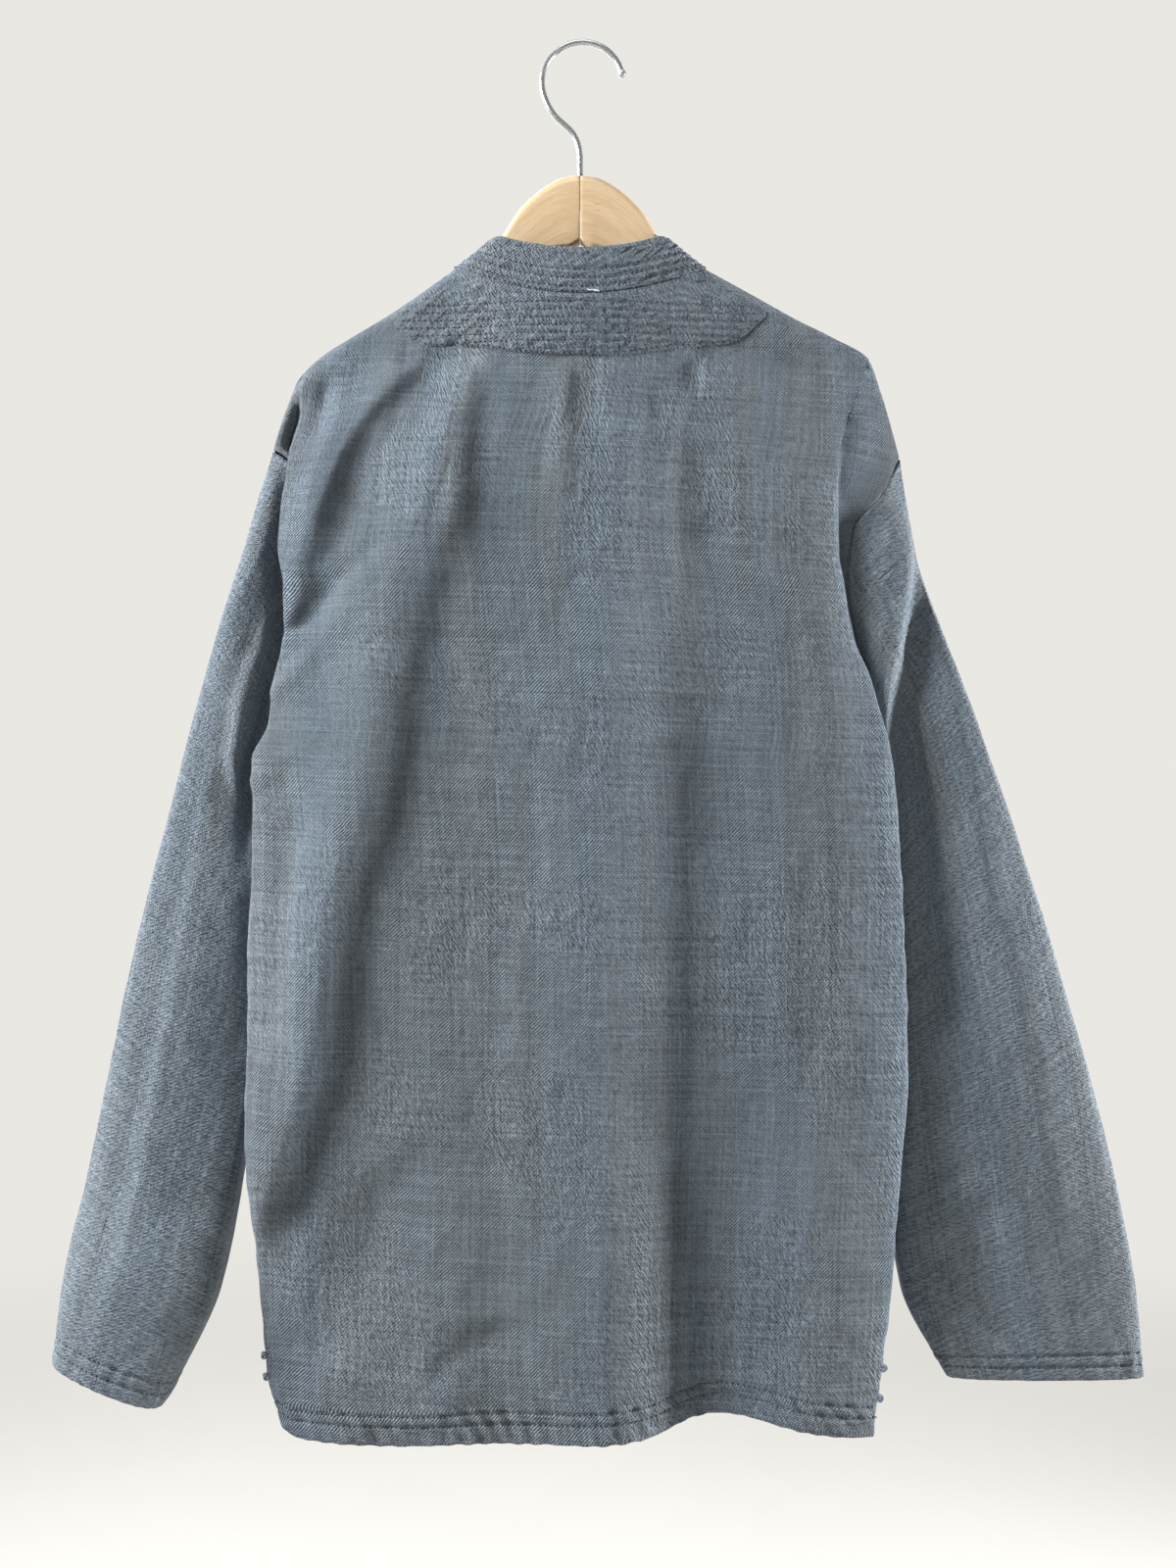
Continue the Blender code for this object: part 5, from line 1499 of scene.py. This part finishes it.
def make_front(side, material, thread):
    """One plain front panel, with its stitched hem and free edge."""
    word = SIDE_WORDS[side]
    grid = front_grid(side)
    normals = normals_of(grid) * -side
    x, z = grid[..., 0] * side, grid[..., 2]
    columns = z.shape[1]
    border = np.arange(columns) / (columns - 1)
    off_seam = 1 - fade(border, *FRONT_SEAM)[None, :]
    free = ease((z[:1] - z) / FRONT_TIGHT) * off_seam * fade(x, *FREE_EDGE)
    lift = uneven(x, z, FRONT_WAVES, side, relief(FRONT_CREASES, "z", "x", z, x))
    grid = grid + normals * (lift * free)[..., None]
    along = lengths_along(grid, 1)
    inside = 1 - fade(border, *FRONT_SEWN)[None, :]
    seed = PUCKER_SEEDS["front"] + side
    grid, from_hem = sewn_edge(grid, normals, along, HEM_STITCHES, seed, inside=inside)
    normals = normals_of(grid) * -side
    normals[0] = neck_and_shoulder_square(normals[0], grid[0], "front")
    inward = -normals
    inward[:, -1] = border_inward(side, grid[:, -1], "front")
    inner = grid + inward * turned_cloth(from_hem, HEM_TURN)[..., None]
    rows = [level_line(grid[:, 1:-3], normals[:, 1:-3], from_hem[:, 1:-3], at) for at in HEM_STITCHES]
    rows.append((grid[EDGE_ROW:, EDGE_COLUMN], normals[EDGE_ROW:, EDGE_COLUMN]))
    stitches = sew(f"front_{word}_stitches", rows, thread)
    outer = grid
    spread = cloth_spread(grid, 0, ARM_ROWS)
    free_edge = "left"
    if side == RIGHT:
        outer, inner, spread = outer[:, ::-1], inner[:, ::-1], spread[:, ::-1]
        free_edge = "right"
    front = wall(f"jacket_front_{word}", outer, inner, spread, material, lips=("bottom", free_edge))
    dress_cloth(front, [stitches], f"front_{word}", grid)


def by_seam(side, share, on_back):
    """How far the sleeve seam stands aside from a straight line between its ends, and how far out."""
    straight = mix(ARMHOLES[side][0].back_x, ARMHOLES[side][-1].back_x, share)
    z = mix(HEAD[side].z, UNDERARM_Z[side], share)
    back_x, back_y = armhole(side, z, "back")
    front_x, front_y = armhole(side, z, "front")
    aside = np.where(on_back, back_x, front_x) - straight
    out = np.where(on_back, back_y - SEAM_GAP / 2, front_y + SEAM_GAP / 2)
    return aside, np.where(share > 0, out, 0.0)


def sleeve_point(side, share, turn):
    """A point of the sleeve: share of its length, and its angle round it from the outer edge."""
    rows = SLEEVES[side]
    value = {name: table(rows, "share", name, share) for name in Sleeve._fields[1:]}
    across = (1 - np.cos(turn)) / 2
    x = mix(value["outer_x"], value["inner_x"], across)
    z = mix(value["outer_z"], value["inner_z"], across)
    bulge = np.sin(turn)
    swell = np.sign(bulge) * np.abs(bulge) ** SLEEVE_FLAT
    out = np.where(bulge > 0, value["near"], value["far"]) * swell
    lift = relief(SLEEVE_FOLDS[side], "share", "across", share, across)
    y = value["middle"] - out - lift * np.clip(bulge, 0, 1)
    aside, seam_y = by_seam(side, across, turn <= math.pi)
    free = ease(share / SEAM_BLEND)
    return stacked(x + aside * (1 - free), mix(seam_y, y, free), z)


def make_sleeve(side, material, thread):
    """One sleeve, a tube from the sleeve seam to its stitched cuff."""
    word = SIDE_WORDS[side]
    turn = np.linspace(0, 2 * math.pi, SLEEVE_COLUMNS, endpoint=False)
    stretches = [np.linspace(*rows) for rows in SLEEVE_ROWS]
    share = np.concatenate(stretches[:1] + [rows[1:] for rows in stretches[1:]])
    grid = sleeve_point(side, share[:, None], turn[None, :])
    head = hump(np.minimum(turn, 2 * math.pi - turn), 0.0, SEAM_ENDS)
    foot = hump(turn, math.pi, SEAM_ENDS)
    root = hump(share, 0.0, SEAM_ROOT)[:, None, None]
    grid += root * mirrored(SEAM_WAY, side) * SEAM_GAP
    grid += root * mirrored(HEAD_WAY, side) * (HEAD_GAP * head)[None, :, None]
    grid += root * mirrored(FOOT_WAY, side) * (FOOT_GAP * foot)[None, :, None]
    normals = normals_of(grid, wraps=True) * -side
    across = ((1 - np.cos(turn)) / 2)[None, :]
    near = np.clip(np.sin(turn), 0, 1)[None, :] ** NEAR_ROUND
    far = np.clip(-np.sin(turn), 0, 1)[None, :] ** FAR_ROUND
    length = share[:, None]
    free = ease(length / SLEEVE_TIGHT)
    lift = relief(LONG_CREASES[side], "share", "across", length, across)
    lift = lift + relief(ROUND_CREASES[side], "across", "share", across, length)
    lift = lift + relief(BODY_CREASES[side], "z", "x", grid[..., 2], grid[..., 0])
    other = FAR_SIDE * relief(LONG_CREASES[-side], "share", "across", length, across)
    along = turn[None, :] / (2 * math.pi) * CUFF_ROUND
    rough = uneven(grid[..., 0], grid[..., 2], SLEEVE_SWELL, side)
    rough = uneven(grid[..., 0] + grid[..., 1], grid[..., 2], SLEEVE_CRUMPLE, side, rough)
    lift = lift * near + other * far + rough * np.maximum(near, far)
    grid = grid + normals * (lift * free)[..., None]
    seed = PUCKER_SEEDS["sleeve"] + side
    grid, from_cuff = sewn_edge(grid, normals, along, CUFF_STITCHES, seed, CUFF_PUCKER)
    normals = normals_of(grid, wraps=True) * -side
    inward = -normals
    on_back = (turn <= math.pi)[:, None]
    back, front = (seam_inward(side, grid[0, :, 2], sign, SEAM_LEAN) for sign in (1, -1))
    inward[0] = np.where(on_back, back, front)
    inner = grid + inward * turned_cloth(from_cuff, CUFF_TURN)[..., None]
    ring = joined(grid)
    rows = [level_line(ring, joined(normals), joined(from_cuff), at) for at in CUFF_STITCHES]
    stitches = sew(f"sleeve_{word}_stitches", rows, thread)
    spread = cloth_spread(ring, SLEEVE_COLUMNS // 4, len(share) // 2)
    outer = grid
    if side == RIGHT:
        outer, inner = grid[:, ::-1], inner[:, ::-1]
        spread = spread[:, ::-1]
        outer, inner = np.roll(outer, 1, axis=1), np.roll(inner, 1, axis=1)
    sleeve = wall(f"jacket_sleeve_{word}", outer, inner, spread, material, wraps=True, lips=("bottom",))
    dress_cloth(sleeve, [stitches], f"sleeve_{word}", grid, wraps=True)


def tube(name, path, radius, material, sides=10, closed=False):
    """A round tube along a path, with rounded or joined ends."""
    count = len(path)
    if closed:
        ways = unit(np.roll(path, -1, axis=0) - np.roll(path, 1, axis=0))
    else:
        ways = unit(np.gradient(path, axis=0))
    aside = unit(np.cross(ways[0], np.array([0.31, 0.87, 0.38])))
    first = []
    for way in ways:
        aside = unit(aside - way * (aside @ way))
        first.append(aside)
    first = np.array(first)
    second = np.cross(ways, first)
    if closed:
        slip = math.atan2(first[0] @ second[-1], first[0] @ first[-1])
        twist = slip * np.arange(count)[:, None] / count
        first, second = (
            first * np.cos(twist) + second * np.sin(twist),
            second * np.cos(twist) - first * np.sin(twist),
        )
    turn = np.linspace(0, 2 * math.pi, sides, endpoint=False)
    radius = np.broadcast_to(radius, (count,))
    ring = np.cos(turn)[None, :, None] * first[:, None] + np.sin(turn)[None, :, None] * second[:, None]
    points = (path[:, None] + ring * radius[:, None, None]).reshape(-1, 3)
    if closed:
        faces = [tuple(k % len(points) for k in face) for face in ring_faces(count + 1, sides)]
    else:
        faces = ring_faces(count, sides) + end_faces(count, sides)
    return add_mesh(name, points, faces, material)


def knot_path(tilt):
    """The middle line of a three-lobed knot, turned by its tilt."""
    turn = np.linspace(0, 2 * math.pi, 72, endpoint=False)
    wide = KNOT_LOOP + KNOT_LOBE * np.cos(3 * turn)
    x = wide * np.cos(2 * turn)
    z = KNOT_TALL * wide * np.sin(2 * turn)
    spun_x = x * math.cos(tilt) - z * math.sin(tilt)
    spun_z = x * math.sin(tilt) + z * math.cos(tilt)
    return stacked(spun_x, KNOT_DEEP * np.sin(3 * turn), spun_z)


def make_knots(grid, normals, material):
    """Cord knots that close the head of each side vent, beside the back's rolled edge."""
    rows = np.arange(len(grid))
    last = grid.shape[1] - 1
    beside = STRIP_COLUMNS + KNOT_COLUMNS_SEARCHED
    lines = {
        LEFT: (-grid[:, :beside, 0]).argmax(axis=1) + KNOT_COLUMNS_IN,
        RIGHT: last - grid[:, ::-1][:, :beside, 0].argmax(axis=1) - KNOT_COLUMNS_IN,
    }
    edges = {side: grid[rows, line] for side, line in lines.items()}
    ways = {side: normals[rows, line] for side, line in lines.items()}
    reach = KNOT_RING + KNOT_CORD / 2 - SEAM_GAP / 2
    for side, word in SIDE_WORDS.items():
        for number, height in enumerate(KNOT_HEIGHTS[side], 1):
            edge = edges[side]
            cloth = read_points(-height, -edge[:, 2], edge)
            middle = cloth + reach * unit(read_points(-height, -edge[:, 2], ways[side]))
            path = middle + knot_path(0.4 * number + 0.3 * side)
            knot = tube(f"cord_knot_{word}_{number}", path, KNOT_TUBE, material, closed=True)
            knot.visible_shadow = False
            dress(knot, [f"vent_knot_{word}_{number}"])


def make_buttons(material, thread):
    """Buttons with a raised rim, a dished middle and four sewn holes."""
    radius = BUTTON_ACROSS / 2
    stations = np.arange(len(BUTTON_OUTLINE), dtype=float)
    fine = np.linspace(0, len(BUTTON_OUTLINE) - 1, BUTTON_LINES)
    reach = smooth(fine, stations, listed(BUTTON_OUTLINE, "reach")) * radius
    height = smooth(fine, stations, listed(BUTTON_OUTLINE, "height"))
    turn = np.linspace(0, 2 * math.pi, BUTTON_COLUMNS, endpoint=False)
    x = reach[1:-1, None] * np.cos(turn)
    z = reach[1:-1, None] * np.sin(turn)
    y = np.broadcast_to(height[1:-1, None], x.shape).copy()
    top = (fine[1:-1] < BUTTON_FACE)[:, None]
    holes = [(hole_x, hole_z) for hole_z in (-HOLE_AT, HOLE_AT) for hole_x in (-HOLE_AT, HOLE_AT)]
    for hole_x, hole_z in holes:
        away = np.hypot(x - hole_x, z - hole_z)
        y -= np.where(top, HOLE_DEEP * ease((HOLE_RADIUS - away) / HOLE_SLOPE), 0.0)
    for number in range(BUTTONS):
        base = np.array([0.0, FRONT_FLAT + SEAM_GAP, BUTTON_TOP + BUTTON_STEP * number])
        rings = stacked(x, y, z) + base
        points = np.vstack([rings.reshape(-1, 3), base + [0, height[0], 0], base])
        count, last = len(turn), len(rings) - 1
        centre = len(points) - 2
        faces = ring_faces(len(rings), count)
        for k in range(count):
            faces.append(((k + 1) % count, k, centre))
            faces.append((last * count + k, last * count + (k + 1) % count, centre + 1))
        button = add_mesh(f"jacket_button_{number + 1}", points, faces, material)
        paths = []
        for start, stop in ((holes[0], holes[3]), (holes[1], holes[2])):
            t = np.linspace(0, 1, 9)[:, None]
            flat = mix(np.array(start), np.array(stop), t)
            bow = THREAD_FOOT + THREAD_BOW * np.sin(np.pi * t[:, 0]) ** 0.5
            paths.append(stacked(flat[:, 0], bow, flat[:, 1]) + base)
        first = tube(f"button_thread_{number + 1}_a", paths[0], BUTTON_THREAD, thread, sides=8)
        above = paths[1] + [0, THREAD_OVER, 0]
        second = tube(f"button_thread_{number + 1}_b", above, BUTTON_THREAD, thread, sides=8)
        dress(button, [f"front_button_{number + 1}"])
        dress(first)
        dress(second)


def wood_top(side, reach):
    """Height of the wood's upper edge: bare in the neck, and just under the cloth outside it."""
    covered = [row for row in SHOULDER[side] if NECK_HALF < side * row.x <= side * TIP[side].x]
    reaches = np.append(listed(NECK_WOOD, "reach"), side * listed(covered, "x"))
    heights = np.append(listed(NECK_WOOD, "z"), listed(covered, "z") - WOOD_UNDER_CLOTH)
    return smooth(reach, reaches, heights)


def make_arm(side, material):
    """One mitred half of the hanger, its rounded sections set along the shoulder."""
    word = SIDE_WORDS[side]
    ends = TIP_REACH - listed(TIP_NARROW, "reach")[::-1]
    joint = np.append(SEAM_GAP / 2, listed(JOINT_NARROW, "reach")[1:])
    reach = np.concatenate([joint, *(np.linspace(*part) for part in ARM_STATIONS), ends])
    top = wood_top(side, reach)
    deep = mix(WOOD_DEEP, TIP_DEEP, ease(reach / TIP_REACH))
    deep = deep + MIDDLE_DEEPER * hump(reach, 0.0, MIDDLE_HALF)
    low = top - deep + NOTCH_RISE * np.clip(1 - reach / NOTCH_HALF, 0, 1)
    shrink = np.interp(TIP_REACH - reach, listed(TIP_NARROW, "reach"), listed(TIP_NARROW, "size"))
    shrink = shrink * np.interp(reach, listed(JOINT_NARROW, "reach"), listed(JOINT_NARROW, "size"))
    half = shrink[:, None] * WOOD_THICK / 2
    tall = (shrink * (top - low) / 2)[:, None]
    middle = ((top + low) / 2)[:, None]
    turns = np.linspace(0, math.pi, ARM_TURNS)
    y = half * np.concatenate([np.cos(turns), -np.cos(turns)])
    over = middle + tall + half * (np.sin(turns) - 1)
    under = middle - tall - half * UNDER_ROUND * (np.sin(turns) - 1)
    grid = stacked(side * reach[:, None], y, np.concatenate([over, under], axis=1))
    grid = joined(grid)
    spread = np.stack([lengths_along(grid, 0), lengths_along(grid, 1) + GRAIN_SHIFT * side], axis=-1) * MM
    rows, columns = grid.shape[:2]
    count = columns - 1
    points = grid[:, :-1].reshape(-1, 3)
    faces = ring_faces(rows, count) + end_faces(rows, count)
    flats = ring_faces(rows, count, columns) + end_faces(rows, count, columns)
    if side == RIGHT:
        faces = [face[::-1] for face in faces]
        flats = [flat[::-1] for flat in flats]
    flat_points = spread.reshape(-1, 2)
    corner = np.concatenate([flat_points[list(flat)] for flat in flats])
    arm = add_mesh(f"hanger_wood_{word}", points, faces, material, corner)
    bore_stem_hole(arm)
    dress(arm, [f"hanger_arm_{word}"])


def bore_stem_hole(arm):
    """Cuts the round hole for the hook's stem into one arm."""
    bpy.ops.mesh.primitive_cylinder_add(
        vertices=40, radius=STEM_HOLE / 2 * MM, depth=STEM_HOLE_DEEP * MM,
        location=(0, 0, (STEM_FOOT - SEAM_GAP + STEM_HOLE_DEEP / 2) * MM),
    )
    cutter = bpy.context.object
    hole = arm.modifiers.new("stem hole", "BOOLEAN")
    hole.operation = "DIFFERENCE"
    hole.solver = "EXACT"
    hole.object = cutter
    bpy.context.view_layer.objects.active = arm
    bpy.ops.object.modifier_apply(modifier=hole.name)
    arm.data.set_sharp_from_angle(angle=math.radians(50))
    bpy.data.objects.remove(cutter, do_unlink=True)


def hook_path():
    """The wire's middle line: up the stem, through a reverse bend and over the round of the hook."""
    centre = np.array([HOOK_LEAN, 0.0, HOOK_WIRE / 2 - HOOK_RADIUS])
    arc = np.radians(np.linspace(*HOOK_ARC, 90))
    round_part = centre + HOOK_RADIUS * stacked(np.cos(arc), 0.0, np.sin(arc))
    foot = np.array([0.0, 0.0, STEM_FOOT])
    top = np.array([0.0, 0.0, STEM_TOP - BEND_START])
    start = round_part[0]
    way = unit(round_part[1] - round_part[0])
    t = np.linspace(0, 1, 41)[:-1, None]
    lead = top + np.array([BEND_ASIDE, 0.0, BEND_REACH])
    trail = start - way * BEND_REACH
    bend = (1 - t) ** 3 * top + 3 * (1 - t) ** 2 * t * lead
    bend = bend + 3 * (1 - t) * t**2 * trail + t**3 * start
    stem = mix(foot, top, np.linspace(0, 1, 12)[:-1, None])
    return np.vstack([stem, bend, round_part])


def make_hook(material):
    """The wire hook, round in section, with a ball on its free end."""
    path = hook_path()
    sizes = np.full(len(path), HOOK_WIRE / 2)
    way = unit(path[-1] - path[-2])
    ball = np.radians(np.linspace(*BALL_ARC, 24))
    tip = path[-1] + way * HOOK_BALL / 2
    path = np.vstack([path, tip - way * np.cos(ball)[:, None] * HOOK_BALL / 2])
    sizes = np.append(sizes, np.sin(ball) * HOOK_BALL / 2)
    hook = tube("wire_hook", path, sizes, material, sides=28)
    dress(hook, ["hanger_hook"])


def aimed(thing, place, target):
    thing.location = Vector(place)
    thing.rotation_euler = (Vector(target) - Vector(place)).to_track_quat("-Z", "Y").to_euler()


def soft_light(light):
    data = bpy.data.lights.new(light.name, "AREA")
    data.shape = "DISK"
    data.size = light.size
    data.energy = light.power
    data.color = light.colour
    lamp = bpy.data.objects.new(light.name, data)
    bpy.context.scene.collection.objects.link(lamp)
    aimed(lamp, light.place, light.target)


def make_floor():
    """A pale floor that fades out towards its rim."""
    bpy.ops.mesh.primitive_circle_add(
        vertices=96, radius=FLOOR_REACH, fill_type="NGON", location=(0, 0, FLOOR_Z)
    )
    floor = bpy.context.object
    floor.name = "floor"
    n = new_look("pale_floor")
    place = n.add("ShaderNodeTexCoord").outputs["Object"]
    away = n.add("ShaderNodeVectorMath", {0: place}, operation="LENGTH").outputs["Value"]
    tone = n.blend(n.solid_noise(3.0, 3.0), (0.43, 0.42, 0.40, 1), (0.46, 0.45, 0.43, 1))
    clear = n.between(away, FLOOR_REACH * 0.98, FLOOR_REACH * 0.35)
    floor.data.materials.append(n.look({"Base Color": tone, "Roughness": 0.9, "Alpha": clear}))


def make_room():
    """Surroundings that light the piece from behind it, and are pale to the camera on every side."""
    n = Nodes(bpy.data.worlds.new("pale_room"), "Background")
    place = n.add("ShaderNodeTexCoord").outputs["Generated"]
    behind = n.add("ShaderNodeSeparateXYZ", {0: place}).outputs["Y"]
    light = n.between(behind, 0.0, ROOM_TURN, ROOM_DIM, ROOM_PALE)
    seen = n.math("MULTIPLY", n.add("ShaderNodeLightPath").outputs["Is Camera Ray"], ROOM_PALE)
    strength = n.math("MAXIMUM", light, seen)
    bpy.context.scene.world = n.look({"Color": ROOM_COLOUR, "Strength": strength})


def make_stage():
    """The floor, the room, the lights and the camera at the photograph's place."""
    scene = bpy.context.scene
    scene.view_settings.view_transform = "Standard"
    make_floor()
    make_room()
    for light in LIGHTS:
        soft_light(light)
    data = bpy.data.cameras.new("camera")
    data.sensor_width = CAMERA_SENSOR
    data.lens = CAMERA_SENSOR * CAMERA_AWAY / FRAME_HIGH
    camera = bpy.data.objects.new("camera", data)
    scene.collection.objects.link(camera)
    aimed(camera, CAMERA_PLACE, CAMERA_TARGET)
    scene.camera = camera


def make_all():
    # The sewing thread is darker than the cloth: painted shade for the shadows in the stitch grooves and
    # along the collar's seam.
    thread = thread_material("groove_shade_thread", (0.055, 0.066, 0.088, 1.0))
    tack = thread_material("pale_thread", (0.72, 0.72, 0.70, 1.0))
    cord = thread_material("dark_cord", (0.090, 0.110, 0.140, 1.0), 700.0)
    grid, normals = make_back(cloth_material("back_cloth_look"), thread)
    make_yoke(grid, normals, cloth_material("yoke_cloth_look", 1.2, 0.3), thread)
    make_collar(cloth_material("collar_cloth_look", 1.2, 0.3), thread, tack)
    for side, word in SIDE_WORDS.items():
        make_front(side, cloth_material(f"front_{word}_cloth_look"), thread)
        make_sleeve(side, cloth_material(f"sleeve_{word}_cloth_look", 0.7, 0.2, 67.0), thread)
    make_knots(grid, normals, cord)
    make_buttons(button_material(), thread)
    wood = wood_material()
    for side in SIDE_WORDS:
        make_arm(side, wood)
    make_hook(wire_material())
    make_stage()


make_all()
